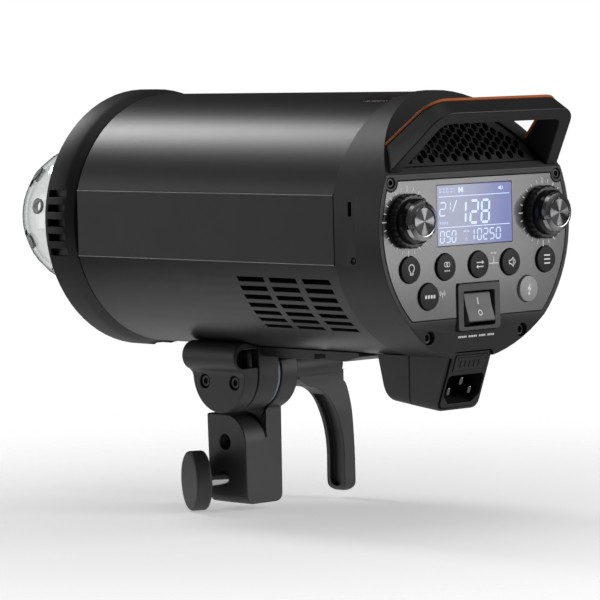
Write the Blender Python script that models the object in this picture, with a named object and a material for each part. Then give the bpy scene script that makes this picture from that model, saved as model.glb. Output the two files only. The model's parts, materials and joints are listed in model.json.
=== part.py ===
"""Monolight strobe on a tilting stand bracket, built as separate solids with real joints.

The light points along -Y, its control panel faces +Y and its own left side is +X.  The origin is the
centre of the stand socket's mouth, on the underside of the bracket.  Lengths below are in millimetres;
finish() scales each solid to metres.
"""

import math

import bmesh
import bpy
from mathutils import Matrix, Vector

MM = 0.001
GAP = 0.3

# Light axis and stations along it
AXIS_Z = 142.0
RING_FRONT = -77.2
RING_REAR = -58.0
TUBE_FRONT = -57.7
GROOVE_REAR = -56.0
SEAM = 131.0
PANEL = 163.5

# Housing
TUBE_R = 63.0
TUBE_BORE_R = 58.8
GROOVE_R = 61.4
COVER_R = 63.6
COVER_WALL = 3.0
PANEL_WALL = 4.5
RING_R = 65.4
RING_LIP_R = 49.5
RING_CHANNEL_R = 55.5
RING_BORE_R = 52.0
SLOPE_START = 25.5
SLOPE = 0.66
CHIN_START = -44.4
CHIN_SLOPE = 0.21

# Flat side bands
BAND_FACE = 61.3
BAND_THICK = 1.0
BAND_HALF = 16.3
END_CAP_HALF = 18.3
END_CAP_REAR = 147.0
END_SCREW_Y = 143.6
END_SCREW_Z = -14.0

# Vent slots on both lower flanks
VENT_ANGLES = [23.1 + 4.55 * row for row in range(7)]
VENT_STARTS = (59.4, 82.0, 105.2)
VENT_LENGTH = 18.6
VENT_HEIGHT = 2.6
VENT_SLANT = 0.5

# Optics
DOME_R = 37.3
DOME_WALL = 2.2
DOME_CENTRE = -116.5
DOME_BASE = -67.4
DOME_PORTS = 12
DOME_PORT_R = 3.4
PORT_START = -20.0
PORT_STATIONS = (-129.0, -117.5)
PLATE_FRONT = -67.0
PLATE_REAR = -58.0
FLASH_RING_R = 23.0
FLASH_TUBE_R = 4.2
FLASH_STATION = -102.0

# Control panel
PLATE_R = 60.8
PLATE_TOP = 22.6
PLATE_BOTTOM = -42.6
PLATE_THICK = 1.0
RECESS = 1.3
SCREEN_X = (-24.2, 26.0)
SCREEN_Z = (-8.9, 19.9)
DIAL_X = 45.1
DIAL_Z = 4.2
DIAL_SHAFT_R = 3.0
BUTTON_R = 6.2
BUTTONS = {
    "lamp_button": (44.7, -18.4),
    "group_button": (21.5, -18.4),
    "sync_button": (-0.4, -18.4),
    "sound_button": (-21.8, -18.4),
    "menu_button": (-46.0, -18.4),
    "mode_button": (33.0, -31.6),
    "test_button": (-33.4, -31.8),
}
SCREW_X = 55.2
SCREW_Z = 22.1
CHIN_SCREW_X = 31.0
CHIN_SCREW_Z = -51.2
ROCKER_HALF_X = 8.7
ROCKER_Z = -38.3
ROCKER_PIVOT = PANEL - 3.2

# Rear grille
GRILLE_R = 56.8
GRILLE_BOTTOM = 28.7
CELL_COLUMN = 3.75
CELL_ROW = 4.4
CELL_HALF = (2.05, 1.85)

# Power inlet
INLET_HALF = 14.2
INLET_TILT = math.radians(21.0)
INLET_CENTRE = (153.4, -72.4)
INLET_WALL = 1.1
INLET_PROUD = 0.9
INLET_RECESS = 23.8
HOUSING_TOP = -52.0
HOUSING_CORNER = 4.0

# Handle
HANDLE_THICK = 7.0
ACCENT_THICK = 1.3

# Tilt joint
TILT_Y = 5.0
TILT_Z = 66.0
DISC_R = 19.5
EAR_TOP_R = 12.5
EAR_X = (-12.8, -1.5)
WASHER_X = (-1.2, 0.4)
HEAD_X = (0.7, 13.8)
HOLDER_X = (14.1, 23.0)
HOLDER_Y = (-14.9, 24.0)
PIN_PLACE = (17.0, 20.2)
PIVOT_R = 3.0
TILT_RANGE = (20.0, 45.0)

# Stand bracket
BLOCK_X = 12.5
BLOCK_Y = (-16.8, 11.5)
BLOCK_TOP = 44.8
SOCKET_R = 8.1
SOCKET_DEPTH = 36.0
LOCK_ANGLE = math.radians(-25.0)
LOCK_Z = 12.0
LOCK_KNOB_R = 15.0
LOCK_KNOB_SPAN = (23.6, 31.8)

# Clamp lever
LEVER_R = 7.2
LEVER_HALF = 6.8
LEVER_NECK = 5.4
LEVER_END = -57.2


# ---------------------------------------------------------------- materials and objects

PALETTE = {
    "powder_coat": ((0.030, 0.030, 0.032), 0.45, 0.2),
    "band_black": ((0.045, 0.045, 0.047), 0.40, 0.2),
    "black_plastic": ((0.028, 0.028, 0.029), 0.55, 0.0),
    "cast_black": ((0.035, 0.035, 0.036), 0.50, 0.3),
    "panel_grey": ((0.21, 0.21, 0.22), 0.35, 0.6),
    "rubber_black": ((0.020, 0.020, 0.020), 0.70, 0.0),
    "accent_orange": ((0.75, 0.22, 0.06), 0.50, 0.0),
    "bright_metal": ((0.60, 0.60, 0.60), 0.25, 1.0),
    "dark_steel": ((0.10, 0.10, 0.10), 0.35, 0.9),
    "washer_blue": ((0.20, 0.29, 0.38), 0.45, 0.0),
    "display_blue": ((0.33, 0.35, 0.62), 0.20, 0.0),
    "button_grey": ((0.35, 0.35, 0.35), 0.45, 0.0),
    "sensor_violet": ((0.07, 0.02, 0.05), 0.15, 0.0),
    "clear_glass": ((0.90, 0.92, 0.93), 0.05, 0.0),
    "reflector": ((0.70, 0.70, 0.70), 0.30, 0.9),
    "ceramic": ((0.70, 0.68, 0.62), 0.60, 0.0),
    "board_green": ((0.02, 0.12, 0.05), 0.50, 0.0),
}


def clear_scene():
    for obj in list(bpy.data.objects):
        bpy.data.objects.remove(obj, do_unlink=True)


def material(slot):
    found = bpy.data.materials.get(slot)
    if found:
        return found
    colour, roughness, metallic = PALETTE[slot]
    made = bpy.data.materials.new(slot)
    made.use_nodes = True
    shader = made.node_tree.nodes["Principled BSDF"]
    shader.inputs["Base Color"].default_value = (*colour, 1.0)
    shader.inputs["Roughness"].default_value = roughness
    shader.inputs["Metallic"].default_value = metallic
    return made


def finish(name, bm, slot, pivot=(0.0, 0.0, 0.0)):
    """Turns a bmesh in millimetres into a named object whose origin is at pivot."""
    bmesh.ops.recalc_face_normals(bm, faces=bm.faces)
    bm.transform(Matrix.Scale(MM, 4) @ Matrix.Translation(-Vector(pivot)))
    mesh = bpy.data.meshes.new(name)
    bm.to_mesh(mesh)
    bm.free()
    mesh.shade_smooth()
    mesh.set_sharp_from_angle(angle=math.radians(32))
    obj = bpy.data.objects.new(name, mesh)
    obj.location = Vector(pivot) * MM
    bpy.context.scene.collection.objects.link(obj)
    if slot:
        mesh.materials.append(material(slot))
    return obj


def cutter(name, bm):
    obj = finish(name, bm, None)
    obj.hide_render = True
    obj.display_type = "WIRE"
    return obj


def boolean(target, tool, operation="DIFFERENCE"):
    modifier = target.modifiers.new(tool.name, "BOOLEAN")
    modifier.operation = operation
    modifier.solver = "EXACT"
    modifier.object = tool


def cut_all(target, tools):
    """Takes several solids away from target in one exact operation."""
    group = bpy.data.collections.new("cutters_of_" + target.name)
    for tool in tools:
        group.objects.link(tool)
    modifier = target.modifiers.new("cuts", "BOOLEAN")
    modifier.operation = "DIFFERENCE"
    modifier.solver = "EXACT"
    modifier.operand_type = "COLLECTION"
    modifier.collection = group


def edge_break(target, width, segments=2, angle=40.0):
    modifier = target.modifiers.new("edge_break", "BEVEL")
    modifier.width = width * MM
    modifier.segments = segments
    modifier.limit_method = "ANGLE"
    modifier.angle_limit = math.radians(angle)


# ---------------------------------------------------------------- outlines, as lists of 2-D points


def arc(centre, radius, start, end, steps):
    """Points on a circle, or on an ellipse when radius is a pair, from start to end degrees."""
    wide, high = radius if isinstance(radius, tuple) else (radius, radius)
    angles = [math.radians(start + (end - start) * i / steps) for i in range(steps + 1)]
    return [(centre[0] + wide * math.cos(a), centre[1] + high * math.sin(a)) for a in angles]


def circle(centre, radius, steps):
    return arc(centre, radius, 0.0, 360.0, steps)[:-1]


def rectangle(low, high):
    return [low, (high[0], low[1]), high, (low[0], high[1])]


def rounded(points, radii, steps=4):
    """Rounds each corner of a polygon; radii is one number or one per corner."""
    if not isinstance(radii, (list, tuple)):
        radii = [radii] * len(points)
    result = []
    for index, corner in enumerate(points):
        here = Vector(corner)
        before = (Vector(points[index - 1]) - here).normalized()
        after = (Vector(points[(index + 1) % len(points)]) - here).normalized()
        if radii[index] <= 0.0:
            result.append(tuple(here))
            continue
        half = before.angle(after) / 2.0
        centre = here + (before + after).normalized() * (radii[index] / math.sin(half))
        first = here + before * (radii[index] / math.tan(half)) - centre
        last = here + after * (radii[index] / math.tan(half)) - centre
        for step in range(steps + 1):
            spoke = first.slerp(last, step / steps).normalized() * radii[index]
            result.append(tuple(centre + spoke))
    return result


# ---------------------------------------------------------------- solids, as bmeshes


def to_space(axis, point, along):
    """A 2-D point of a section across axis, at a station along it."""
    if axis == "X":
        return Vector((along, point[0], point[1]))
    if axis == "Y":
        return Vector((point[0], along, point[1]))
    return Vector((point[0], point[1], along))


def skin(loops):
    """Joins rings of points with quads, and caps the two ends."""
    bm = bmesh.new()
    rings = [[bm.verts.new(point) for point in loop] for loop in loops]
    for first, second in zip(rings, rings[1:]):
        count = len(first)
        for i in range(count):
            bm.faces.new((first[i], first[(i + 1) % count], second[(i + 1) % count], second[i]))
    bm.faces.new(rings[0])
    bm.faces.new(list(reversed(rings[-1])))
    return bm


def prism(axis, outline, low, high):
    return skin([[to_space(axis, p, low) for p in outline], [to_space(axis, p, high) for p in outline]])


def merged(*parts):
    """One bmesh holding several solids that don't touch."""
    bm = bmesh.new()
    for part in parts:
        scratch = bpy.data.meshes.new("scratch")
        part.to_mesh(scratch)
        part.free()
        bm.from_mesh(scratch)
        bpy.data.meshes.remove(scratch)
    return bm


def turned(profile, steps, centre, direction, wave=None):
    """Turns (radius, station) points about a line; radius 0 makes a pole, otherwise the profile is a loop."""
    forward = Vector(direction).normalized()
    side = forward.orthogonal().normalized()
    if abs(forward.y) > 0.99:
        side = Vector((1.0, 0.0, 0.0))
    other = forward.cross(side)
    bm = bmesh.new()
    rings = []
    for radius, station in profile:
        base = Vector(centre) + forward * station
        if radius == 0.0:
            rings.append([bm.verts.new(base)])
            continue
        ring = []
        for i in range(steps):
            angle = 2.0 * math.pi * i / steps
            reach = radius + (wave(angle, station) if wave else 0.0)
            spoke = side * math.cos(angle) + other * math.sin(angle)
            ring.append(bm.verts.new(base + spoke * reach))
        rings.append(ring)
    solid = len(rings[0]) == 1 and len(rings[-1]) == 1
    pairs = list(zip(rings, rings[1:]))
    if not solid:
        pairs.append((rings[-1], rings[0]))
    for first, second in pairs:
        for i in range(steps):
            j = (i + 1) % steps
            near = [first[i % len(first)], first[j % len(first)]]
            far = [second[j % len(second)], second[i % len(second)]]
            bm.faces.new(list(dict.fromkeys(near + far)))
    return bm


def rod(centre, direction, radius, low, high, steps=24):
    return turned([(0.0, low), (radius, low), (radius, high), (0.0, high)], steps, centre, direction)


def light_rod(radius, low, high, steps, x=0.0, z=0.0):
    """A cylinder along the light's axis, offset sideways by x and up by z."""
    return rod((x, 0.0, AXIS_Z + z), (0, 1, 0), radius, low, high, steps)


def swept(path, radius, sides):
    """A round tube along a list of points, capped at both ends."""
    points = [Vector(p) for p in path]
    loops = []
    normal = None
    for index, point in enumerate(points):
        ahead = points[min(index + 1, len(points) - 1)]
        behind = points[max(index - 1, 0)]
        tangent = (ahead - behind).normalized()
        normal = tangent.orthogonal() if normal is None else normal - tangent * normal.dot(tangent)
        normal.normalize()
        other = tangent.cross(normal)
        angles = [2.0 * math.pi * i / sides for i in range(sides)]
        loops.append([point + (normal * math.cos(a) + other * math.sin(a)) * radius for a in angles])
    return skin(loops)


def plate(outline, holes, rear_at, thickness):
    """A plate across Y with holes; rear_at(x, z) is its rear face and thickness runs forward from it."""
    bm = bmesh.new()
    for loop in [outline, *holes]:
        verts = [bm.verts.new((x, 0.0, z)) for x, z in loop]
        for i, vert in enumerate(verts):
            bm.edges.new((vert, verts[(i + 1) % len(verts)]))
    bmesh.ops.triangle_fill(bm, use_beauty=True, edges=bm.edges[:])
    front = bmesh.ops.extrude_face_region(bm, geom=bm.faces[:])
    front_verts = {v for v in front["geom"] if isinstance(v, bmesh.types.BMVert)}
    for vert in bm.verts:
        depth = thickness if vert in front_verts else 0.0
        vert.co.y = rear_at(vert.co.x, vert.co.z) - depth
    return bm


def lift(outline):
    """Moves an outline given about the light's axis up to its height."""
    return [(x, z + AXIS_Z) for x, z in outline]


def arch_section(radius, low, high, steps=40):
    """A disc outline about the light's axis, kept between two heights."""
    a_low = math.degrees(math.asin(low / radius))
    a_high = math.degrees(math.asin(high / radius))
    right = arc((0.0, 0.0), radius, a_low, a_high, steps)
    return right + [(-x, z) for x, z in reversed(right)]


# ---------------------------------------------------------------- rear cover's own surfaces


def slope_y(z):
    """Rear face of the sloping upper zone; z is counted from the light's axis."""
    return PANEL - SLOPE * (z - SLOPE_START)


def slice_off(bm, place, outward):
    """Removes what lies beyond a plane and closes the cut."""
    geometry = bm.verts[:] + bm.edges[:] + bm.faces[:]
    cut = bmesh.ops.bisect_plane(bm, geom=geometry, plane_co=place, plane_no=outward, clear_outer=True)
    rim = [item for item in cut["geom_cut"] if isinstance(item, bmesh.types.BMEdge)]
    if rim:
        bmesh.ops.edgeloop_fill(bm, edges=rim)


def cover_solid(radius, inset, front, steps=72):
    """The rear cover's outer form, grown or shrunk, as a drum cut by its three rear planes."""
    bm = light_rod(radius, front, PANEL + 5.0, steps)
    planes = [
        ((0.0, PANEL, 0.0), (0.0, 1.0, 0.0)),
        ((0.0, PANEL, SLOPE_START), (0.0, 1.0, SLOPE)),
        ((0.0, PANEL, CHIN_START), (0.0, 1.0, -CHIN_SLOPE)),
    ]
    for point, normal in planes:
        outward = Vector(normal).normalized()
        slice_off(bm, Vector(point) + Vector((0.0, 0.0, AXIS_Z)) - outward * inset, outward)
    return bm


def tube_cutter(name, radius=TUBE_R + GAP):
    return cutter(name, light_rod(radius, TUBE_FRONT - 5.0, SEAM + 5.0, 80))


# ---------------------------------------------------------------- body tube and side bands


def vent_cutters(side):
    slots = []
    for angle in VENT_ANGLES:
        turn = math.radians(angle)
        outward = Vector((side * math.cos(turn), 0.0, -math.sin(turn)))
        upward = Vector((side * math.sin(turn), 0.0, math.cos(turn)))
        for start in VENT_STARTS:
            loops = []
            for reach in (TUBE_BORE_R - 3.0, TUBE_R + 3.0):
                loop = []
                for length, height in ((0, -1), (1, -1), (1, 1), (0, 1)):
                    station = start + VENT_LENGTH * length - VENT_SLANT * height / 2.0
                    centre = Vector((0.0, station, AXIS_Z))
                    loop.append(centre + outward * reach + upward * (height * VENT_HEIGHT / 2.0))
                loops.append(loop)
            slots.append(skin(loops))
    return slots


def band_pocket(side):
    low, high = sorted((side * (BAND_FACE - BAND_THICK - GAP), side * (TUBE_R + 3.0)))
    outline = rectangle((low, -BAND_HALF - GAP), (high, BAND_HALF + GAP))
    return prism("Y", lift(outline), TUBE_FRONT - 2.0, SEAM + 2.0)


def arc_block(inner, outer, middle, half, low, high, steps):
    """A curved block about the light's axis, centred on the angle middle."""
    outline = arc((0.0, 0.0), outer, middle - half, middle + half, steps)
    outline += arc((0.0, 0.0), inner, middle + half, middle - half, steps)
    return prism("Y", lift(outline), low, high)


def make_body_tube():
    profile = [
        (GROOVE_R, TUBE_FRONT + GAP),
        (GROOVE_R, GROOVE_REAR),
        (TUBE_R, GROOVE_REAR),
        (TUBE_R, SEAM - GAP),
        (TUBE_BORE_R, SEAM - GAP),
        (TUBE_BORE_R, TUBE_FRONT + GAP),
    ]
    tube = finish("body_tube", turned(profile, 80, (0, 0, AXIS_Z), (0, 1, 0)), "powder_coat")
    boolean(tube, cutter("cut_bands", merged(band_pocket(1), band_pocket(-1))))
    boolean(tube, cutter("cut_vents", merged(*vent_cutters(1), *vent_cutters(-1))))
    window = arc_block(TUBE_BORE_R - 2.0, TUBE_R + 2.0, 90.0, 20.8, 111.2, 127.8, 8)
    boolean(tube, cutter("cut_sensor", window))
    window = arc_block(TUBE_BORE_R + 1.2, TUBE_R, 90.0, 20.4, 111.5, 127.5, 12)
    finish("sensor_window", window, "sensor_violet")


def make_side_bands():
    for side, name in ((1, "side_band_left"), (-1, "side_band_right")):
        low, high = sorted((side * (BAND_FACE - BAND_THICK), side * BAND_FACE))
        outline = lift(rectangle((low, -BAND_HALF), (high, BAND_HALF)))
        finish(name, prism("Y", outline, GROOVE_REAR + GAP, SEAM - GAP), "band_black")


# ---------------------------------------------------------------- front ring and optics


def make_front_ring():
    profile = [
        (RING_R - 0.8, RING_FRONT),
        (RING_R, RING_FRONT + 0.8),
        (RING_R, RING_REAR - 6.0),
        (RING_R - 1.0, RING_REAR - 4.0),
        (RING_R - 3.0, RING_REAR - 0.5),
        (RING_R - 3.5, RING_REAR),
        (RING_BORE_R, RING_REAR),
        (RING_BORE_R, -64.0),
        (RING_CHANNEL_R, -64.0),
        (RING_CHANNEL_R, -72.0),
        (RING_LIP_R, -72.0),
        (RING_LIP_R, RING_FRONT),
    ]
    ring = finish("front_ring", turned(profile, 72, (0, 0, AXIS_Z), (0, 1, 0)), "black_plastic")
    slots = []
    for side in (1, -1):
        low, high = sorted((side * 60.5, side * 68.0))
        for row in range(-2, 3):
            centre = 7.35 * row
            outline = lift(rectangle((low, centre - 1.85), (high, centre + 1.85)))
            slots.append(prism("Y", outline, -74.5, -62.5))
    notches = [arc_block(40.0, 54.6, 30.0 + 120.0 * i, 20.0, RING_FRONT - 2.0, -70.0, 8) for i in range(3)]
    catch_way = prism("Y", lift(rectangle((-5.4, -72.0), (5.4, -50.5))), -71.6, -58.9)
    tools = [
        cutter("cut_ring_slots", merged(*slots)),
        cutter("cut_bayonet_notches", merged(*notches)),
        cutter("cut_catch_way", catch_way),
    ]
    cut_all(ring, tools)


def make_mount_catch():
    outline = lift(rounded([(-5.0, -64.6), (5.0, -64.6), (5.0, -53.0), (-5.0, -53.0)], [1.5, 1.5, 0, 0], 3))
    pivot = (0.0, -68.2, AXIS_Z - 60.0)
    finish("mount_catch", prism("Y", outline, -71.2, -65.3), "dark_steel", pivot)


def make_reflector_plate():
    profile = [
        (RING_BORE_R - GAP, PLATE_REAR),
        (RING_BORE_R - GAP, PLATE_FRONT),
        (12.0, PLATE_FRONT),
        (12.0, PLATE_REAR),
    ]
    finish("reflector_plate", turned(profile, 48, (0, 0, AXIS_Z), (0, 1, 0)), "reflector")


def make_lamp():
    socket = [(0.0, -94.0), (9.0, -94.0), (11.6, -92.0), (11.6, -55.0), (0.0, -55.0)]
    finish("lamp_socket", turned(socket, 24, (0, 0, AXIS_Z), (0, 1, 0)), "ceramic")
    bulb = [(0.0, -94.3), (6.5, -94.3), (8.5, -100.0)]
    bulb += [(r, y) for r, y in reversed(arc((0.0, -122.0), 8.5, 270.0, 360.0, 6))][:-1]
    bulb.append((0.0, -130.5))
    finish("modelling_lamp", turned(bulb, 16, (0, 0, AXIS_Z), (0, 1, 0)), "clear_glass")


def make_flash_tube():
    """An open ring of tube with both ends bent back to the reflector plate."""
    bend = 6.0
    ends = math.degrees(bend / FLASH_RING_R)
    start = -90.0 + 22.0
    path = []
    for a in [start + i * (316.0 / 24) for i in range(25)]:
        turn = math.radians(a)
        path.append((FLASH_RING_R * math.cos(turn), FLASH_STATION, AXIS_Z + FLASH_RING_R * math.sin(turn)))
    legs = []
    for side, edge in ((-1, start), (1, start + 316.0)):
        leg = []
        for i in range(1, 5):
            part = math.radians(90.0 * i / 4)
            turn = math.radians(edge + side * ends * math.sin(part))
            station = FLASH_STATION + bend * (1.0 - math.cos(part))
            leg.append((FLASH_RING_R * math.cos(turn), station, AXIS_Z + FLASH_RING_R * math.sin(turn)))
        leg.append((leg[-1][0], PLATE_FRONT - GAP, leg[-1][2]))
        legs.append(leg)
    finish("flash_tube", swept(list(reversed(legs[0])) + path + legs[1], FLASH_TUBE_R, 8), "clear_glass")


def make_glass_dome():
    outer = [(r, y) for r, y in arc((0.0, DOME_CENTRE), DOME_R, 270.0, 360.0, 9)]
    outer[0] = (0.0, DOME_CENTRE - DOME_R)
    inner_r = DOME_R - DOME_WALL
    inner = [(r, y) for r, y in arc((0.0, DOME_CENTRE), inner_r, 360.0, 270.0, 7)]
    inner[-1] = (0.0, DOME_CENTRE - inner_r)
    profile = outer + [(DOME_R, DOME_BASE), (inner_r, DOME_BASE)] + inner
    dome = finish("glass_dome", turned(profile, 40, (0, 0, AXIS_Z), (0, 1, 0)), "clear_glass")
    ports = []
    for i in range(DOME_PORTS):
        station = PORT_STATIONS[i % 2]
        turn = math.radians(PORT_START + i * 360.0 / DOME_PORTS)
        lean = max(0.0, DOME_CENTRE - station) / DOME_R
        outward = (math.cos(turn), -math.tan(lean), math.sin(turn))
        start = (0.0, station + (DOME_R - 8.0) * math.tan(lean), AXIS_Z)
        ports.append(rod(start, outward, DOME_PORT_R, DOME_R - 8.0, DOME_R + 4.0, 8))
    boolean(dome, cutter("cut_dome_ports", merged(*ports)))


# ---------------------------------------------------------------- rear cover, panel and grille


def plate_outline(grow):
    top = PLATE_TOP + grow
    bottom = PLATE_BOTTOM - grow
    half = 14.0 + GAP - grow
    outline = arch_section(PLATE_R + grow, bottom, top, 20)
    notch = [(-half, bottom), (-half, -26.7), (half, -26.7), (half, bottom)]
    return lift(outline + notch)


def plate_form(name, grow, corner, rear, front, slot):
    """The panel's form, with its upper corners hollowed round the two corner screws."""
    bm = prism("Y", plate_outline(grow), front, rear)
    made = finish(name, bm, slot)
    corners = [light_rod(corner, front - 2.0, rear + 2.0, 20, x, SCREW_Z) for x in (SCREW_X, -SCREW_X)]
    boolean(made, cutter("cut_corners_" + name, merged(*corners)))
    return made


def panel_holes(name, front, rear, spread):
    holes = []
    for x, z in BUTTONS.values():
        holes.append(light_rod(BUTTON_R + 0.35, front, rear, 20, x, z))
    for x in (DIAL_X, -DIAL_X):
        holes.append(light_rod(DIAL_SHAFT_R + 0.4, front, rear, 12, x, DIAL_Z))
    low = (SCREEN_X[0] + spread, SCREEN_Z[0] + spread)
    high = (SCREEN_X[1] - spread, SCREEN_Z[1] - spread)
    holes.append(prism("Y", lift(rectangle(low, high)), front, rear))
    return cutter(name, merged(*holes))


def inlet_face(width, up, out):
    """A point of the tilted inlet face: width along X, up along the face and out of it."""
    normal = Vector((0.0, math.cos(INLET_TILT), -math.sin(INLET_TILT)))
    upward = Vector((0.0, math.sin(INLET_TILT), math.cos(INLET_TILT)))
    centre = Vector((0.0, INLET_CENTRE[0], AXIS_Z + INLET_CENTRE[1]))
    return centre + Vector((width, 0.0, 0.0)) + upward * up + normal * out


def inlet_block(outline, low, high):
    """A prism that stands across the tilted inlet face."""
    return skin([[inlet_face(x, v, low) for x, v in outline], [inlet_face(x, v, high) for x, v in outline]])


def housing_underside(shrink):
    """Side view of the housing's front wall and underside, shrunk by a wall thickness."""
    face_low = inlet_face(0.0, -16.4 + shrink, -shrink)
    base = AXIS_Z - 86.2 + shrink
    knee = face_low.y - 14.0
    rear = PANEL + 2.0
    rear_z = base + (face_low.z - base) * (rear - knee) / 14.0
    corners = [(107.3 + shrink, AXIS_Z - 57.0), (114.0 + shrink, base + 2.4), (knee, base), (rear, rear_z)]
    return rounded(corners, [0.0, 6.0, 3.0, 0.0], 4)


def housing_solid(shrink, low, high):
    """The inlet housing between two stations: a trough with round lower edges and a tilted rear face."""
    half = INLET_HALF - shrink
    top = AXIS_Z + HOUSING_TOP - shrink
    corner = HOUSING_CORNER - shrink
    loops = []
    for station, floor in housing_underside(shrink):
        corners = [(-half, floor), (half, floor), (half, top), (-half, top)]
        section = rounded(corners, [corner, corner, 0.0, 0.0], 4)
        loops.append([to_space("Y", point, station) for point in section])
    bm = skin(loops)
    normal = inlet_face(0.0, 0.0, 1.0) - inlet_face(0.0, 0.0, 0.0)
    planes = [(inlet_face(0.0, 0.0, -shrink), normal)]
    planes += [(Vector((0.0, low, 0.0)), Vector((0.0, -1.0, 0.0)))]
    planes += [(Vector((0.0, high, 0.0)), Vector((0.0, 1.0, 0.0)))]
    for place, outward in planes:
        slice_off(bm, place, outward)
    return bm


def cover_flats():
    """Flat landings at both ends of the side bands, each with a strap slot and a screw seat."""
    flats, details = [], []
    for side in (1, -1):
        low, high = sorted((side * BAND_FACE, side * 70.0))
        outline = lift(rectangle((low, -END_CAP_HALF), (high, END_CAP_HALF)))
        flats.append(prism("Y", outline, SEAM - 2.0, END_CAP_REAR))
        low, high = sorted((side * 58.0, side * 66.0))
        details.append(prism("Y", lift(rectangle((low, 6.7), (high, 13.3))), 140.8, 142.8))
        details.append(rod((0, END_SCREW_Y, AXIS_Z + END_SCREW_Z), (side, 0, 0), 1.7, 60.2, 66.0, 12))
    return [cutter("cut_end_flats", merged(*flats)), cutter("cut_end_slots", merged(*details))]


def make_rear_cover():
    cover = finish("rear_cover", cover_solid(COVER_R, 0.0, SEAM), "black_plastic")
    boolean(cover, cutter("add_inlet_shell", housing_solid(0.0, SEAM, PANEL)), "UNION")
    mouth = rounded(rectangle((-13.1, -15.1), (13.1, 14.9)), [2.9, 2.9, 2.0, 2.0], 3)
    recess = plate_form("cut_panel_recess", 0.3, 4.0, PANEL + 3.0, PANEL - RECESS, None)
    recess.hide_render = True
    recess.display_type = "WIRE"
    opening = lift(arch_section(GRILLE_R, GRILLE_BOTTOM, GRILLE_R - 0.01, 20))
    switch_way = rounded([(-14.3, -49.3), (14.3, -49.3), (14.3, -26.7), (-14.3, -26.7)], 2.0, 3)
    screws = [light_rod(2.6, PANEL - 2.6, PANEL + 3.0, 16, x, SCREW_Z) for x in (SCREW_X, -SCREW_X)]
    screws += [light_rod(3.3, 158.0, PANEL + 3.0, 16, x, CHIN_SCREW_Z) for x in (CHIN_SCREW_X, -CHIN_SCREW_X)]
    tools = [
        cutter("cut_cavity", cover_solid(COVER_R - COVER_WALL, PANEL_WALL, SEAM - 3.0, 60)),
        cutter("cut_inlet_cavity", housing_solid(INLET_WALL, SEAM - 2.0, PANEL)),
        cutter("cut_inlet_mouth", inlet_block(mouth, -6.0, 4.0)),
        recess,
        panel_holes("cut_cover_holes", PANEL - 8.0, PANEL - 1.0, 2.6),
        cutter("cut_grille_way", prism("Y", opening, 132.6, PANEL + 4.0)),
        cutter("cut_switch_way", prism("Y", lift(switch_way), PANEL - 12.0, PANEL + 4.0)),
        cutter("cut_screw_holes", merged(*screws)),
    ]
    cut_all(cover, tools + cover_flats())


def make_control_panel():
    panel = plate_form("control_panel", 0.0, 4.3, PANEL, PANEL - PLATE_THICK, "panel_grey")
    boolean(panel, panel_holes("cut_panel_holes", PANEL - 4.0, PANEL + 4.0, 0.0))
    low = (SCREEN_X[0] + GAP, SCREEN_Z[0] + GAP)
    high = (SCREEN_X[1] - GAP, SCREEN_Z[1] - GAP)
    finish("display_window", prism("Y", lift(rectangle(low, high)), PANEL - 1.0, PANEL + 0.1), "display_blue")
    module = rectangle((SCREEN_X[0] + 3.0, SCREEN_Z[0] + 3.0), (SCREEN_X[1] - 3.0, SCREEN_Z[1] - 3.0))
    finish("display_module", prism("Y", lift(module), PANEL - 6.0, PANEL - 1.6), "bright_metal")
    board = arch_section(54.0, -20.0, 21.0, 10)
    finish("control_board", prism("Y", lift(board), PANEL - 8.6, PANEL - 7.0), "board_green")


def make_screws():
    for side, tag in ((1, "left"), (-1, "right")):
        place = (side * SCREW_X, PANEL - 0.4, AXIS_Z + SCREW_Z)
        make_socket_screw("panel_screw_" + tag, place, (0, 1, 0), 2.3, 1.9)
        chin = (side * CHIN_SCREW_X, PANEL - 3.4, AXIS_Z + CHIN_SCREW_Z)
        make_socket_screw("cover_screw_" + tag, chin, (0, 1, 0), 2.9, 1.7)
        end = (side * 61.0, END_SCREW_Y, AXIS_Z + END_SCREW_Z)
        make_socket_screw("end_screw_" + tag, end, (side, 0, 0), 1.4, 0.5)
    for y, tag in ((-6.1, "front"), (15.9, "rear")):
        make_socket_screw("holder_screw_" + tag, (HOLDER_X[1] - 0.7, y, 62.2), (1, 0, 0), 2.9, 2.6)


def make_socket_screw(name, top, direction, radius, length):
    """A cylinder-head screw with a hexagon socket; top is the middle of its head's face."""
    outward = Vector(direction)
    profile = [(0.0, -length), (radius, -length), (radius, -0.3), (radius - 0.3, 0.0), (0.0, 0.0)]
    screw = finish(name, turned(profile, 14, top, outward), "dark_steel")
    reach = min(1.4, length - 0.3)
    boolean(screw, cutter("cut_" + name, rod(top, outward, radius * 0.55, -reach, 2.0, 6)))


def grille_cells():
    """Centres of the honeycomb cells that lie wholly inside the opening."""
    wide, high = CELL_HALF
    cells = []
    for column in range(-14, 15):
        for row in range(6):
            x = column * CELL_COLUMN
            z = GRILLE_BOTTOM + 3.4 + (row + 0.5 * (column % 2)) * CELL_ROW
            if math.hypot(abs(x) + wide * 0.8, z + high) < GRILLE_R - 1.3:
                cells.append((x, z))
    return cells


def cell_outline(x, z):
    wide, high = CELL_HALF
    corners = [(1, 0), (0.49, 1), (-0.49, 1), (-1, 0), (-0.49, -1), (0.49, -1)]
    return [(x + wide * across, z + high * up) for across, up in corners]


def make_grille():
    outline = lift(arch_section(GRILLE_R - GAP, GRILLE_BOTTOM + GAP, GRILLE_R - 0.5, 16))
    holes = [lift(cell_outline(x, z)) for x, z in grille_cells()]
    solid = plate(outline, holes, lambda x, z: slope_y(z - AXIS_Z) - 1.6, 1.6)
    finish("rear_grille", solid, "black_plastic")


# ---------------------------------------------------------------- handle


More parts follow.
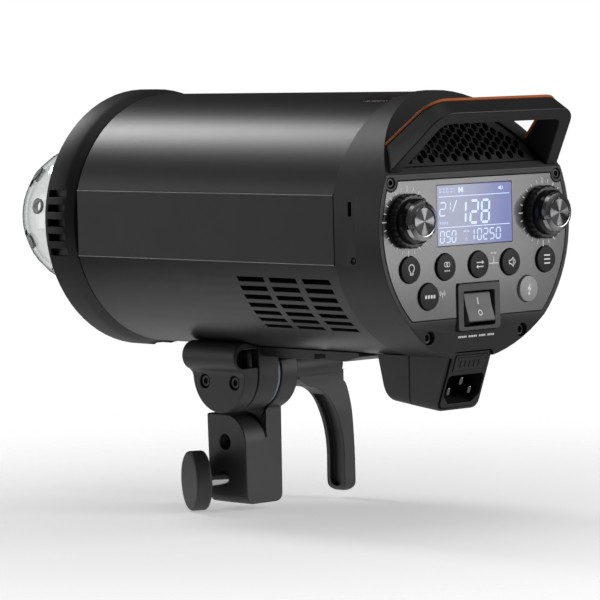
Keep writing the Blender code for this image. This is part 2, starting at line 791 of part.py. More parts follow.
def arch_outline(foot, shoulder, top, thick, bottom, steps=6):
    """A flat arch: its outer edge from foot over both shoulders to the other foot, and back inside."""
    lean = (foot - shoulder) / top
    reach = foot - lean * bottom
    outer = [(reach, bottom), (shoulder, top), (-shoulder, top), (-reach, bottom)]
    slant = math.hypot(1.0, lean)
    inner_top = top - thick
    inner_shoulder = shoulder - thick * slant + lean * thick
    inner_foot = reach - thick * slant
    inner = [(-inner_foot, bottom), (-inner_shoulder, inner_top)]
    inner += [(inner_shoulder, inner_top), (inner_foot, bottom)]
    return rounded(outer + inner, [0, 12.0, 12.0, 0, 0, 6.0, 6.0, 0], steps)


def handle_loop(front, forward=0.0):
    """One face of the handle; forward moves it ahead along the front face's normal."""
    if front:
        start, end = Vector((0.0, 155.6, 39.0)), Vector((0.0, 179.5, 59.2))
        outline = arch_outline(49.9, 43.0, (end - start).length, HANDLE_THICK, -14.0)
    else:
        start, end = Vector((0.0, 163.5, 26.9)), Vector((0.0, 187.2, 53.6))
        outline = arch_outline(55.9, 44.0, (end - start).length, HANDLE_THICK, -14.0)
    along = (end - start).normalized()
    ahead = Vector((0.0, -along.z, along.y))
    base = start + Vector((0.0, 0.0, AXIS_Z)) + ahead * forward
    return [base + Vector((x, 0.0, 0.0)) + along * height for x, height in outline]


def make_handle():
    keep_off = cover_solid(COVER_R + GAP, -GAP, SEAM - 3.0)
    tool = cutter("cut_handle_feet", keep_off)
    handle = finish("handle", skin([handle_loop(True), handle_loop(False)]), "black_plastic")
    boolean(handle, tool)
    layer = skin([handle_loop(True, GAP), handle_loop(True, GAP + ACCENT_THICK)])
    accent = finish("handle_accent", layer, "accent_orange")
    boolean(accent, tool)


# ---------------------------------------------------------------- dials, buttons, rocker


def dial_lobes(angle, station):
    """The dial's skirt is scalloped; its barrel is round."""
    return 0.35 * math.cos(18.0 * angle) if 0.4 < station < 4.0 else 0.0


def make_dials():
    for side, tag in ((1, "left"), (-1, "right")):
        centre = (side * DIAL_X, PANEL, AXIS_Z + DIAL_Z)
        skirt = [
            (0.0, -6.3),
            (DIAL_SHAFT_R, -6.3),
            (DIAL_SHAFT_R, 0.5),
            (12.4, 0.5),
            (12.4, 3.6),
            (10.6, 4.3),
            (10.5, 6.4),
            (0.0, 6.4),
        ]
        barrel = turned(skirt, 54, centre, (0, 1, 0), dial_lobes)
        finish("dial_barrel_" + tag, barrel, "black_plastic", centre)
        cap = [(0.0, 6.7), (9.6, 6.7), (9.6, 10.2), (8.0, 11.6), (7.6, 11.3), (0.0, 11.3)]
        made = finish("dial_cap_" + tag, turned(cap, 30, centre, (0, 1, 0)), "bright_metal", centre)
        notches = []
        for i in range(6):
            turn = math.radians(30.0 + 60.0 * i)
            spot = Vector(centre) + Vector((9.6 * math.cos(turn), 0.0, 9.6 * math.sin(turn)))
            notches.append(rod(spot, (0, 1, 0), 1.1, 6.0, 8.6, 8))
        boolean(made, cutter("cut_dial_cap_" + tag, merged(*notches)))


def make_buttons():
    for name, (x, z) in BUTTONS.items():
        centre = (x, PANEL, AXIS_Z + z)
        profile = [(0.0, -5.4), (BUTTON_R, -5.4), (BUTTON_R, 0.6), (6.2, 1.2), (4.4, 1.5), (0.0, 1.6)]
        slot = "button_grey" if name == "test_button" else "rubber_black"
        finish(name, turned(profile, 20, centre, (0, 1, 0)), slot, centre)


def make_rocker():
    outer = rounded([(-14.0, -49.0), (14.0, -49.0), (14.0, -27.0), (-14.0, -27.0)], [2.0, 2.0, 1.7, 1.7], 4)
    inner = rounded([(-10.4, -47.2), (10.4, -47.2), (10.4, -30.6), (-10.4, -30.6)], 0.8, 2)
    frame = plate(lift(outer), [lift(inner)], lambda x, z: PANEL + 1.0, 9.5)
    finish("switch_frame", frame, "black_plastic")
    pivot = Vector((0.0, ROCKER_PIVOT, AXIS_Z + ROCKER_Z))
    side_view = [(-4.2, -4.5), (3.4 + 2.9, -7.2)]
    side_view += [(4.9, -3.0), (3.4, 1.5), (2.4, 6.9), (-4.2, 5.0)]
    outline = rounded([(pivot.y + y, pivot.z + z) for y, z in side_view], [0.8, 0.7, 14.0, 14.0, 0.7, 0.8], 3)
    finish("power_rocker", prism("X", outline, -ROCKER_HALF_X, ROCKER_HALF_X), "black_plastic", pivot)


# ---------------------------------------------------------------- power inlet


def make_inlet_housing():
    shell = finish("inlet_housing", housing_solid(0.0, 100.0, SEAM - GAP), "black_plastic")
    boolean(shell, cutter("cut_housing_inside", housing_solid(INLET_WALL, 100.0, SEAM + 5.0)))
    boolean(shell, tube_cutter("cut_housing_top"))


def make_power_inlet():
    """The mains inlet, proud of the housing; its drawer and contacts are counted from its own face."""

    def block(outline, low, high):
        return inlet_block(outline, INLET_PROUD + low, INLET_PROUD + high)

    body = rounded(rectangle((-12.8, -14.4), (12.8, 13.7)), [2.6, 2.6, 1.6, 1.6], 3)
    inlet = finish("power_inlet", block(body, -18.7, 0.0), "black_plastic")
    half = INLET_RECESS / 2.0
    mouth = [(half, 2.2), (-half, 2.2), (-half, -8.2), (-7.6, -12.6), (7.6, -12.6), (half, -8.2)]
    mouth = rounded(mouth, [2.2, 2.2, 0.8, 0.8, 0.8, 0.8], 3)
    boolean(inlet, cutter("cut_inlet_recess", block(mouth, -14.2, 3.0)))
    drawer_way = rectangle((-10.6, 4.4), (10.6, 12.6))
    boolean(inlet, cutter("cut_drawer_way", block(drawer_way, -15.7, 3.0)))
    drawer = rectangle((-10.3, 4.7), (10.3, 12.3))
    pivot = inlet_face(0.0, 8.5, INLET_PROUD)
    tray = finish("fuse_drawer", block(drawer, -15.2, 0.3), "black_plastic", pivot)
    boolean(tray, cutter("cut_fuse_seat", block(rectangle((-8.6, 6.2), (8.6, 14.0)), -13.2, -3.2)))
    pins = (("inlet_pin_earth", 0.0, -2.2), ("inlet_pin_line", 7.0, -7.2), ("inlet_pin_neutral", -7.0, -7.2))
    for name, x, v in pins:
        blade = rectangle((x - 1.0, v - 2.0), (x + 1.0, v + 2.0))
        pin = finish(name, block(blade, -13.9, -2.0), "bright_metal")
        edge_break(pin, 0.4, 1)


# ---------------------------------------------------------------- stand bracket and tilt head


def ear_outline():
    """Side view of the bracket: the block below and the tilt ear above it.

    The ear is cut back above its axis by two tangents, one for each end of the tilt, so the light clears it.
    """
    axis = (TILT_Y, TILT_Z)
    wing = math.degrees(math.acos(EAR_TOP_R / DISC_R))
    rear = math.degrees(math.asin((BLOCK_Y[1] - TILT_Y) / DISC_R)) - 90.0
    dome_up, dome_down = TILT_RANGE
    outline = [(BLOCK_Y[0], -1.0), (BLOCK_Y[1], -1.0)]
    outline += arc(axis, DISC_R, rear, 90.0 - dome_up - wing, 12)
    outline += arc(axis, EAR_TOP_R, 90.0 - dome_up, 90.0 + dome_down, 10)
    outline += arc(axis, DISC_R, 90.0 + dome_down + wing, 208.0, 6)
    outline.append((BLOCK_Y[0], BLOCK_TOP))
    return outline


def make_stand_bracket():
    bracket = finish("stand_bracket", prism("X", ear_outline(), -20.0, 20.0), "cast_black")
    foot = BLOCK_X - 0.5
    front_view = [
        (-foot, 0.0),
        (foot, 0.0),
        (BLOCK_X + 0.3, BLOCK_TOP),
        (EAR_X[1], BLOCK_TOP),
        (EAR_X[1], 90.0),
        (EAR_X[0], 90.0),
    ]
    outline = rounded(front_view, [4.0, 4.0, 1.0, 0.0, 0.0, 0.0], 4)
    boolean(bracket, cutter("keep_front_view", prism("Y", outline, -40.0, 40.0)), "INTERSECT")
    shoulder = arc((BLOCK_Y[1] - 14.0, BLOCK_TOP - 14.0), 14.0, 0.0, 90.0, 10)
    shoulder += [(BLOCK_Y[1] - 14.0, BLOCK_TOP + 3.0), (BLOCK_Y[1] + 3.0, BLOCK_TOP + 3.0)]
    shoulder.append((BLOCK_Y[1] + 3.0, BLOCK_TOP - 14.0))
    boolean(bracket, cutter("cut_shoulder", prism("X", shoulder, EAR_X[1], 20.0)))
    lock = (math.cos(LOCK_ANGLE), math.sin(LOCK_ANGLE), 0.0)
    boolean(bracket, cutter("cut_socket", rod((0, 0, 0), (0, 0, 1), SOCKET_R, -5.0, SOCKET_DEPTH, 40)))
    boolean(bracket, cutter("cut_lock_way", rod((0, 0, LOCK_Z), lock, 3.4, 2.0, 30.0, 20)))
    stepped = [(0.0, 4.0), (2.6, 4.0), (2.6, 9.8), (3.9, 9.8), (3.9, 20.0), (0.0, 20.0)]
    boolean(bracket, cutter("cut_side_hole", turned(stepped, 20, (0, -3.9, 30.7), (1, 0, 0))))
    pivot_way = rod((0, TILT_Y, TILT_Z), (1, 0, 0), PIVOT_R + GAP, -20.0, 5.0, 20)
    boolean(bracket, cutter("cut_pivot_ear", pivot_way))


def make_stand_lock():
    lock = (math.cos(LOCK_ANGLE), math.sin(LOCK_ANGLE), 0.0)
    centre = (0.0, 0.0, LOCK_Z)
    low, high = LOCK_KNOB_SPAN
    pivot = Vector(centre) + Vector(lock) * low
    profile = [
        (0.0, low),
        (LOCK_KNOB_R - 0.8, low),
        (LOCK_KNOB_R, low + 0.8),
        (LOCK_KNOB_R, high - 0.8),
        (LOCK_KNOB_R - 0.8, high),
        (0.0, high),
    ]
    finish("stand_lock_knob", turned(profile, 48, centre, lock), "black_plastic", pivot)
    finish("stand_lock_screw", rod(centre, lock, 3.0, SOCKET_R + 0.3, low - GAP, 20), "bright_metal", pivot)


def make_tilt_head():
    axis = (TILT_Y, TILT_Z)
    outline = arc(axis, DISC_R, 180.0, 360.0, 28) + [(TILT_Y + DISC_R, 84.0), (TILT_Y - DISC_R, 84.0)]
    head = finish("tilt_head", prism("X", outline, *HEAD_X), "cast_black")
    boolean(head, tube_cutter("cut_head_top"))
    pivot_way = rod((0, *axis), (1, 0, 0), PIVOT_R + GAP, -5.0, 20.0, 20)
    boolean(head, cutter("cut_pivot_head", pivot_way))
    near, far = WASHER_X
    washer = [(18.6, near), (18.6, far), (PIVOT_R + 0.6, far), (PIVOT_R + 0.6, near)]
    disc = finish("friction_washer", turned(washer, 40, (0, *axis), (1, 0, 0)), "washer_blue")
    boolean(disc, tube_cutter("cut_washer_top"))


def make_umbrella_holder():
    face = HOLDER_X[1]
    bulge = (22.7, 75.0)
    hook = [(HOLDER_X[0], 44.0), (face, 44.0), (face, 64.5), (face + 0.6, 66.4), (face + 2.2, 68.1)]
    hook += arc(bulge, 7.4, -56.0, 90.0, 12) + [(HOLDER_X[0], 82.4)]
    holder = finish("umbrella_holder", prism("Y", hook, *HOLDER_Y), "cast_black")
    middle = (HOLDER_Y[0] + HOLDER_Y[1]) / 2.0
    half = (HOLDER_Y[1] - HOLDER_Y[0]) / 2.0
    side_view = arc((middle, TILT_Z), half, 180.0, 360.0, 28) + [(middle + half, 90.0), (middle - half, 90.0)]
    boolean(holder, cutter("keep_side_view", prism("X", side_view, 5.0, 40.0)), "INTERSECT")
    boolean(holder, tube_cutter("cut_holder_top"))
    channel = rounded([(8.0, 69.8), (28.1, 69.8), (28.1, 79.0), (8.0, 79.0)], [0, 4.4, 4.4, 0], 5)
    boolean(holder, cutter("cut_umbrella_channel", prism("Y", channel, -30.0, 40.0)))
    seats = [rod((0, y, 62.2), (1, 0, 0), 3.6, HOLDER_X[1] - 3.6, 30.0, 20) for y in (-6.1, 15.9)]
    seats.append(rod((*PIN_PLACE, 0.0), (0, 0, 1), 2.3, 60.4, 72.0, 16))
    boolean(holder, cutter("cut_holder_seats", merged(*seats)))
    pin = [(0.0, 68.4), (2.0, 68.4), (2.0, 77.4), (1.2, 78.6), (0.0, 78.6)]
    finish("umbrella_pin", turned(pin, 16, (*PIN_PLACE, 0.0), (0, 0, 1)), "dark_steel", (*PIN_PLACE, 68.4))


def make_mounting_rail():
    side_view = [(25.4, 75.0), (63.0, 75.0), (63.0, 78.2), (70.4, 78.2), (70.4, 75.0), (84.0, 75.0)]
    side_view += [(94.4, 77.6), (94.4, 84.0), (25.4, 84.0)]
    rail = finish("mounting_rail", prism("X", side_view, -12.0, 12.0), "cast_black")
    boolean(rail, tube_cutter("cut_rail_top"))


def lever_outline():
    """Front view of the lever's arm: a curved outer edge, a round tip and an inner edge."""
    outer = arc((-57.0, 10.0), (5.5, 47.0), 90.0, 180.0, 12)
    tip = arc((-58.7, 4.0), 3.8, 180.0, 360.0, 10)
    inner = arc((-33.0, 18.0), (22.1, 37.5), 180.0, 90.0, 14)
    return outer + tip[:-1] + [(-54.9, 8.0)] + inner + [(-26.0, 60.0), (-26.0, 63.0), (-57.0, 63.0)]


def make_clamp_lever():
    axis = (0.0, TILT_Y, TILT_Z)
    start = EAR_X[0] - GAP
    hub = [(0.0, start), (LEVER_R, start)]
    hub += [(r, x) for x, r in arc((LEVER_END + 4.0, LEVER_R - 4.0), 4.0, 90.0, 180.0, 4)]
    hub.append((0.0, LEVER_END))
    lever = finish("clamp_lever", turned(hub, 32, axis, (1, 0, 0)), "cast_black", axis)
    arm = finish("add_lever_arm", prism("Y", lever_outline(), TILT_Y - LEVER_HALF, TILT_Y + LEVER_HALF), None)
    half_view = [(LEVER_HALF, 0.2), (LEVER_HALF, 42.0), (LEVER_NECK, 58.0), (LEVER_NECK, 80.0)]
    side_view = [(TILT_Y + y, z) for y, z in half_view]
    side_view += [(TILT_Y - y, z) for y, z in reversed(half_view)]
    keep = prism("X", rounded(side_view, [5.0, 0, 0, 0, 0, 0, 0, 5.0], 5), -80.0, 0.0)
    boolean(arm, cutter("keep_arm_side", keep), "INTERSECT")
    arm.hide_render = True
    arm.display_type = "WIRE"
    boolean(lever, arm, "UNION")
    boolean(lever, lever_channel())
    boolean(lever, cutter("cut_lever_bore", rod(axis, (1, 0, 0), PIVOT_R + GAP, -48.0, -5.0, 20)))


def lever_channel():
    """The long finger groove in the lever's inner side, with oval ends."""
    depth = 3.0
    inner = arc((-33.0, 18.0), (22.1 + depth, 37.5 + depth), 180.0, 118.0, 12)
    back = [(-40.0, 40.0), (-50.0, 2.4)]
    outline = [(-54.9 - depth, 2.4)] + inner + back
    groove = cutter("cut_lever_channel", prism("Y", outline, TILT_Y - 5.0, TILT_Y + 5.0))
    ends = rounded(rectangle((TILT_Y - 4.2, 2.8), (TILT_Y + 4.2, 54.0)), 4.0, 5)
    boolean(groove, cutter("keep_groove_ends", prism("X", ends, -80.0, 0.0)), "INTERSECT")
    return groove


def make_pivot_bolt():
    axis = (0.0, TILT_Y, TILT_Z)
    finish("pivot_bolt", rod(axis, (1, 0, 0), PIVOT_R, -47.5, HEAD_X[1] - 0.5, 20), "dark_steel", axis)


# ---------------------------------------------------------------- inside the tube

# One blade and the stretch of hub behind it: turn in radians and radius
FAN_BLADE = ((0.0, 12.0), (0.06, 22.0), (0.04, 34.0), (0.10, 34.2), (0.15, 22.0), (0.22, 12.0), (0.56, 12.0))


def make_fan():
    station = 104.0
    deep = 16.0
    frame_outline = rounded(rectangle((-38.0, -38.0), (38.0, 38.0)), 4.0, 3)
    centre = (0.0, 0.0, AXIS_Z)
    frame = finish("fan_frame", prism("Y", lift(frame_outline), station, station + deep), "black_plastic")
    duct = rod(centre, (0, 1, 0), 35.5, station - 2.0, station + deep + 2.0, 48)
    boolean(frame, cutter("cut_fan_duct", duct))
    spokes = []
    for turn in (45.0, 135.0):
        a = math.radians(turn)
        across = Vector((-math.sin(a), 0.0, math.cos(a))) * 2.0
        reach = Vector((math.cos(a), 0.0, math.sin(a))) * 37.0
        middle = Vector(centre)
        loops = []
        for y in (station + 0.4, station + 2.4):
            corners = [(-1, -1), (1, -1), (1, 1), (-1, 1)]
            loops.append([Vector((0, y, 0)) + middle + reach * i + across * j for i, j in corners])
        spokes.append(skin(loops))
    for index, spoke in enumerate(spokes):
        boolean(frame, cutter("add_fan_spoke_%d" % index, spoke), "UNION")
    motor = rod(centre, (0, 1, 0), 11.0, station + 0.2, station + 2.6, 32)
    boolean(frame, cutter("add_fan_motor", motor), "UNION")
    layers = 3
    loops = []
    for layer in range(layers + 1):
        twist = math.radians(32.0 * layer / layers)
        loop = []
        for blade in range(7):
            root = twist + 2.0 * math.pi * blade / 7.0
            for offset, radius in FAN_BLADE:
                angle = root + offset
                y = station + 3.2 + 11.0 * layer / layers
                loop.append(Vector((radius * math.cos(angle), y, AXIS_Z + radius * math.sin(angle))))
        loops.append(loop)
    finish("fan_rotor", skin(loops), "black_plastic", (0.0, station + 8.0, AXIS_Z))


def make_capacitors():
    for side, tag in ((1, "left"), (-1, "right")):
        profile = [(0.0, -42.0), (26.0, -42.0), (26.0, 48.0), (0.0, 48.0)]
        solid = turned(profile, 24, (side * 28.0, 0.0, AXIS_Z), (0, 1, 0))
        finish("flash_capacitor_" + tag, solid, "band_black")


def main():
    clear_scene()
    make_body_tube()
    make_side_bands()
    make_front_ring()
    make_mount_catch()
    make_reflector_plate()
    make_lamp()
    make_flash_tube()
    make_glass_dome()
    make_rear_cover()
    make_control_panel()
    make_grille()
    make_handle()
    make_dials()
    make_buttons()
    make_rocker()
    make_screws()
    make_inlet_housing()
    make_power_inlet()
    make_stand_bracket()
    make_stand_lock()
    make_tilt_head()
    make_umbrella_holder()
    make_mounting_rail()
    make_clamp_lever()
    make_pivot_bolt()
    make_fan()
    make_capacitors()


main()
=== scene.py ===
import json
import math

import bmesh
import bpy
from mathutils import Matrix, Vector
from mathutils.bvhtree import BVHTree


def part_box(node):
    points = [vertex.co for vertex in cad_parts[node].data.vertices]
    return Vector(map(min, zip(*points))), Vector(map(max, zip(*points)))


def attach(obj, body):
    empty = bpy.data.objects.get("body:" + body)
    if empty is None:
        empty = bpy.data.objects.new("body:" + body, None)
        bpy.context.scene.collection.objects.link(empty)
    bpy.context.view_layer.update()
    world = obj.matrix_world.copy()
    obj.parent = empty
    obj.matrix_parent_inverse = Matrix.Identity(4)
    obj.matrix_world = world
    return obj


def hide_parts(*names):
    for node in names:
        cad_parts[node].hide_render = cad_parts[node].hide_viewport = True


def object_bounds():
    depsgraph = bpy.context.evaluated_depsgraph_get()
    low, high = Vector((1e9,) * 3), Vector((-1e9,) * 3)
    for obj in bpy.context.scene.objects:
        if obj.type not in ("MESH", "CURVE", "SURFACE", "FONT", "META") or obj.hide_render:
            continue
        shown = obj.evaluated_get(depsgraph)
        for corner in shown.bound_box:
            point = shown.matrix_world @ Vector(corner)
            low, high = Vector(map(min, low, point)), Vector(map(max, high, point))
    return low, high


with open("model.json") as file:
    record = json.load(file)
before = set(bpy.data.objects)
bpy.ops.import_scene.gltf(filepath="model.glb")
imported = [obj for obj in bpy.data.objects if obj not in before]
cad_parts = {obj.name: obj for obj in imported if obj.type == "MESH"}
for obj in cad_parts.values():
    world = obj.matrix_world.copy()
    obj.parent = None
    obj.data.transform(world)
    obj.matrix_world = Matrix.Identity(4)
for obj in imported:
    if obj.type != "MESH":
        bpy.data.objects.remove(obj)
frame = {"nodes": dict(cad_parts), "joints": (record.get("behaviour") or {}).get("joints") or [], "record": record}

CAD_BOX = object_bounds()
MM = 0.001
NODES = frame["nodes"]
JOINTS = {joint["name"]: joint for joint in frame["joints"]}

# The light's axis runs along Y at the middle height of the front ring's box
RING_LOW, RING_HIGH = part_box("front_ring")
AXIS_Z = (RING_LOW.z + RING_HIGH.z) / 2.0
PANEL_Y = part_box("control_panel")[1].y


# ---------------------------------------------------------------- material building blocks

# The Mix node's colour sockets: the first colour, the second one and the result
MIX_FIRST, MIX_SECOND, MIX_RESULT = 6, 7, 2

# Noise seldom leaves this part of its 0 to 1 range
NOISE_LOW, NOISE_HIGH = 0.3, 0.7

# How wide the patches of uneven colour and gloss are, in metres, and how much the roughness varies
COLOUR_PATCH = 0.018
GLOSS_PATCH = 0.006
GLOSS_DRIFT = 0.02


def start_material(name):
    made = bpy.data.materials.new(name)
    made.use_nodes = True
    tree = made.node_tree
    return made, tree, tree.nodes["Principled BSDF"]


def add(tree, kind, **settings):
    """A new node; settings whose names are its own attributes are set there, others on its sockets."""
    node = tree.nodes.new("ShaderNode" + kind)
    for key, value in settings.items():
        if hasattr(node, key):
            setattr(node, key, value)
        else:
            node.inputs[key.replace("_", " ")].default_value = value
    return node


def noise(tree, size, detail=2.0):
    """Noise whose features are size metres across, fixed to the piece."""
    place = add(tree, "TexCoord")
    made = add(tree, "TexNoise", Scale=1.0 / size, Detail=detail)
    tree.links.new(place.outputs["Object"], made.inputs["Vector"])
    return made


def spread(tree, source, low, high):
    """Turns a noise pattern into numbers from low to high."""
    made = add(tree, "MapRange", From_Min=NOISE_LOW, From_Max=NOISE_HIGH, To_Min=low, To_Max=high)
    tree.links.new(source, made.inputs["Value"])
    return made.outputs["Result"]


def ramp(tree, source, start, end, low=0.0, high=1.0):
    """A smooth step from low to high while source goes from start to end."""
    made = add(tree, "MapRange", interpolation_type="SMOOTHSTEP", From_Min=start, From_Max=end)
    made.inputs["To Min"].default_value = low
    made.inputs["To Max"].default_value = high
    tree.links.new(source, made.inputs["Value"])
    return made.outputs["Result"]


def mixed(tree, factor, first, second):
    """Goes from the first colour to the second while factor goes from 0 to 1."""
    made = add(tree, "Mix", data_type="RGBA")
    made.inputs[MIX_FIRST].default_value = (*first, 1.0)
    made.inputs[MIX_SECOND].default_value = (*second, 1.0)
    tree.links.new(factor, made.inputs["Factor"])
    return made.outputs[MIX_RESULT]


def tint(tree, source, colour, amount):
    """Colour that drifts darker and lighter with a noise pattern."""
    darker = [c * (1.0 - amount) for c in colour]
    lighter = [min(1.0, c * (1.0 + amount)) for c in colour]
    return mixed(tree, spread(tree, source, 0.0, 1.0), darker, lighter)


def bump(tree, source, depth):
    made = add(tree, "Bump", Strength=1.0, Distance=depth)
    tree.links.new(source, made.inputs["Height"])
    return made.outputs["Normal"]


def split_place(tree):
    """The X, Y and Z of each point in the piece's own coordinates."""
    place = add(tree, "TexCoord")
    split = add(tree, "SeparateXYZ")
    tree.links.new(place.outputs["Object"], split.inputs["Vector"])
    return split.outputs


def maths(tree, operation, *sources):
    """A Math node fed by sockets or plain numbers."""
    made = add(tree, "Math", operation=operation)
    for socket, source in zip(made.inputs, sources):
        if isinstance(source, float):
            socket.default_value = source
        else:
            tree.links.new(source, socket)
    return made.outputs["Value"]


def grained(name, colour, roughness, metallic=0.0, grain=0.5, depth=0.02, drift=0.12, **sockets):
    """A surface with grain of a width and depth in mm, a slow colour drift and uneven gloss."""
    made, tree, shader = start_material(name)
    slow = noise(tree, COLOUR_PATCH, 3.0)
    fine = noise(tree, grain * MM)
    tree.links.new(tint(tree, slow.outputs["Fac"], colour, drift), shader.inputs["Base Color"])
    gloss = noise(tree, GLOSS_PATCH, 4.0)
    smoothest, roughest = roughness * (1.0 - GLOSS_DRIFT), min(1.0, roughness * (1.0 + GLOSS_DRIFT))
    rough = spread(tree, gloss.outputs["Fac"], smoothest, roughest)
    tree.links.new(rough, shader.inputs["Roughness"])
    tree.links.new(bump(tree, fine.outputs["Fac"], depth * MM), shader.inputs["Normal"])
    shader.inputs["Metallic"].default_value = metallic
    for key, value in sockets.items():
        shader.inputs[key.replace("_", " ")].default_value = value
    return made


def print_with_glow(name, colour, glow):
    """Screen-printed ink: flat colour with slightly uneven cover, given a glow so that it reads. On the display
    the glow stands for its backlight; elsewhere it is a painted glow on ink that nothing lights from behind.
    """
    made, tree, shader = start_material(name)
    cover = noise(tree, 0.0004, 3.0)
    ink = tint(tree, cover.outputs["Fac"], colour, 0.06)
    tree.links.new(ink, shader.inputs["Base Color"])
    tree.links.new(ink, shader.inputs["Emission Color"])
    shader.inputs["Emission Strength"].default_value = glow
    shader.inputs["Roughness"].default_value = 0.55
    return made


def glass_material():
    """Clear glass that darkens where it is seen edge on, as a thick-walled dome does."""
    made, tree, shader = start_material("clear_glass_look")
    haze = noise(tree, 0.01, 3.0)
    tree.links.new(spread(tree, haze.outputs["Fac"], 0.01, 0.04), shader.inputs["Roughness"])
    facing = add(tree, "LayerWeight", Blend=0.5)
    edge = ramp(tree, facing.outputs["Facing"], 0.60, 0.95)
    tree.links.new(mixed(tree, edge, (0.82, 0.83, 0.83), (0.10, 0.10, 0.10)), shader.inputs["Base Color"])
    shader.inputs["Transmission Weight"].default_value = 1.0
    shader.inputs["IOR"].default_value = 1.45
    return made


def lcd_material(low, high):
    """Back-lit display film, pale on the reader's left and bluer towards the reader's right."""
    made, tree, shader = start_material("display_film")
    pale_from = low.x + (high.x - low.x) * 0.75
    across = ramp(tree, split_place(tree)["X"], low.x, pale_from)
    film = mixed(tree, across, (0.15, 0.18, 0.45), (0.36, 0.385, 0.52))
    cells = noise(tree, 0.0005, 1.0)
    speck = add(tree, "Mix", data_type="RGBA", blend_type="MULTIPLY", Factor=0.25)
    tree.links.new(film, speck.inputs[MIX_FIRST])
    tree.links.new(cells.outputs["Color"], speck.inputs[MIX_SECOND])
    tree.links.new(film, shader.inputs["Emission Color"])
    tree.links.new(speck.outputs[MIX_RESULT], shader.inputs["Base Color"])
    shader.inputs["Emission Strength"].default_value = 0.50
    shader.inputs["Roughness"].default_value = 0.25
    return made


# ---------------------------------------------------------------- the finishes of the CAD nodes

# grained() takes a name, colour, roughness, metallic value, grain width and depth in mm, and colour drift
LOOKS = {
    "powder_coat": grained(
        "powder_coat_look", (0.018, 0.018, 0.019), 0.37, 0.0, 0.45, 0.012,
        Specular_IOR_Level=0.62,
    ),
    "band_black": grained("band_look", (0.030, 0.030, 0.031), 0.46, 0.0, 0.30, 0.004, Specular_IOR_Level=0.5),
    "black_plastic": grained("moulded_plastic_look", (0.027, 0.027, 0.027), 0.48, 0.0, 0.42, 0.028),
    "cast_black": grained(
        "cast_coat_look", (0.026, 0.026, 0.026), 0.46, 0.0, 0.55, 0.026,
        Specular_IOR_Level=0.55,
    ),
    "panel_grey": grained(
        "panel_look", (0.120, 0.120, 0.122), 0.32, 0.65, 0.25, 0.002, 0.04,
        Coat_Weight=0.5, Coat_Roughness=0.10,
    ),
    "rubber_black": grained("rubber_look", (0.016, 0.016, 0.016), 0.62, 0.0, 0.25, 0.010),
    "accent_orange": grained("orange_look", (0.72, 0.19, 0.045), 0.45, 0.0, 0.40, 0.012, 0.06),
    "bright_metal": grained("bright_metal_look", (0.62, 0.62, 0.62), 0.18, 1.0, 0.30, 0.002, 0.05),
    "dark_steel": grained("dark_steel_look", (0.045, 0.045, 0.046), 0.36, 0.7, 0.30, 0.006),
    "washer_blue": grained("washer_look", (0.20, 0.30, 0.40), 0.45, 0.0, 0.50, 0.008),
    "button_grey": grained("test_button_look", (0.46, 0.46, 0.47), 0.42, 0.0, 0.35, 0.010),
    "sensor_violet": grained("sensor_look", (0.022, 0.006, 0.014), 0.12, 0.0, 0.60, 0.002, Coat_Weight=0.6),
    "reflector": grained("reflector_look", (0.78, 0.78, 0.78), 0.32, 0.85, 0.80, 0.010, 0.04),
    "ceramic": grained("ceramic_look", (0.72, 0.70, 0.65), 0.50, 0.0, 0.70, 0.012),
    "board_green": grained("board_look", (0.02, 0.11, 0.05), 0.45, 0.0, 0.70, 0.010),
    "clear_glass": glass_material(),
}
LOOKS["display_blue"] = lcd_material(*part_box("display_window"))

# Nodes that differ from the rest of their slot
# The pins' metal is dark grey, darker than bare pins: painted shade for the deep recess of the inlet.
PIN_LOOK_PAINTED_SHADE = grained("pin_painted_shade_look", (0.20, 0.20, 0.20), 0.25, 1.0, 0.20, 0.002, 0.05)
NODE_LOOKS = {
    "power_rocker": grained("rocker_look", (0.140, 0.140, 0.140), 0.42, 0.0, 0.35, 0.010),
    "switch_frame": grained("switch_frame_look", (0.065, 0.065, 0.065), 0.42, 0.0, 0.35, 0.012),
    "fuse_drawer": grained("drawer_look", (0.020, 0.020, 0.020), 0.50, 0.0, 0.35, 0.014),
    "inlet_pin_earth": PIN_LOOK_PAINTED_SHADE,
    "inlet_pin_line": PIN_LOOK_PAINTED_SHADE,
    "inlet_pin_neutral": PIN_LOOK_PAINTED_SHADE,
    "power_inlet": grained("inlet_look", (0.014, 0.014, 0.014), 0.50, 0.0, 0.35, 0.014),
}

# The rounding of sharp edges, in mm: the usual width and the nodes that differ
EDGE_WIDTH = 0.25
EDGE_WIDTHS = {
    "stand_bracket": 0.7,
    "umbrella_holder": 0.5,
    "tilt_head": 0.4,
    "clamp_lever": 0.35,
    "handle": 0.7,
    "front_ring": 0.35,
    "rear_cover": 0.30,
    "inlet_housing": 0.4,
    "control_panel": 0.15,
    "rear_grille": 0.15,
    "display_window": 0.10,
    "mounting_rail": 0.4,
    "stand_lock_knob": 0.5,
}

# Corners closer than this are one corner, and faces that turn less than this are one flat
WELD_REACH = 0.000002
FLAT_TURN = math.radians(0.4)
SHARP_TURN = math.radians(32.0)

# Merging flat faces spoils these nodes round their holes, so they keep their triangles
PIERCED = ("rear_cover", "front_ring")


def soften(node, width):
    """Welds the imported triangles, merges the flat ones and rounds the sharp edges."""
    mesh = node.data
    if "custom_normal" in mesh.attributes:
        mesh.attributes.remove(mesh.attributes["custom_normal"])
    mesh.shade_smooth()
    weld = node.modifiers.new("weld", "WELD")
    weld.merge_threshold = WELD_REACH
    if node.name not in PIERCED:
        flat = node.modifiers.new("flat", "DECIMATE")
        flat.decimate_type = "DISSOLVE"
        flat.angle_limit = FLAT_TURN
    edge = node.modifiers.new("edge", "BEVEL")
    edge.width = width * MM
    edge.segments = 2
    edge.limit_method = "ANGLE"
    edge.angle_limit = SHARP_TURN
    edge.harden_normals = True
    edge.use_clamp_overlap = False


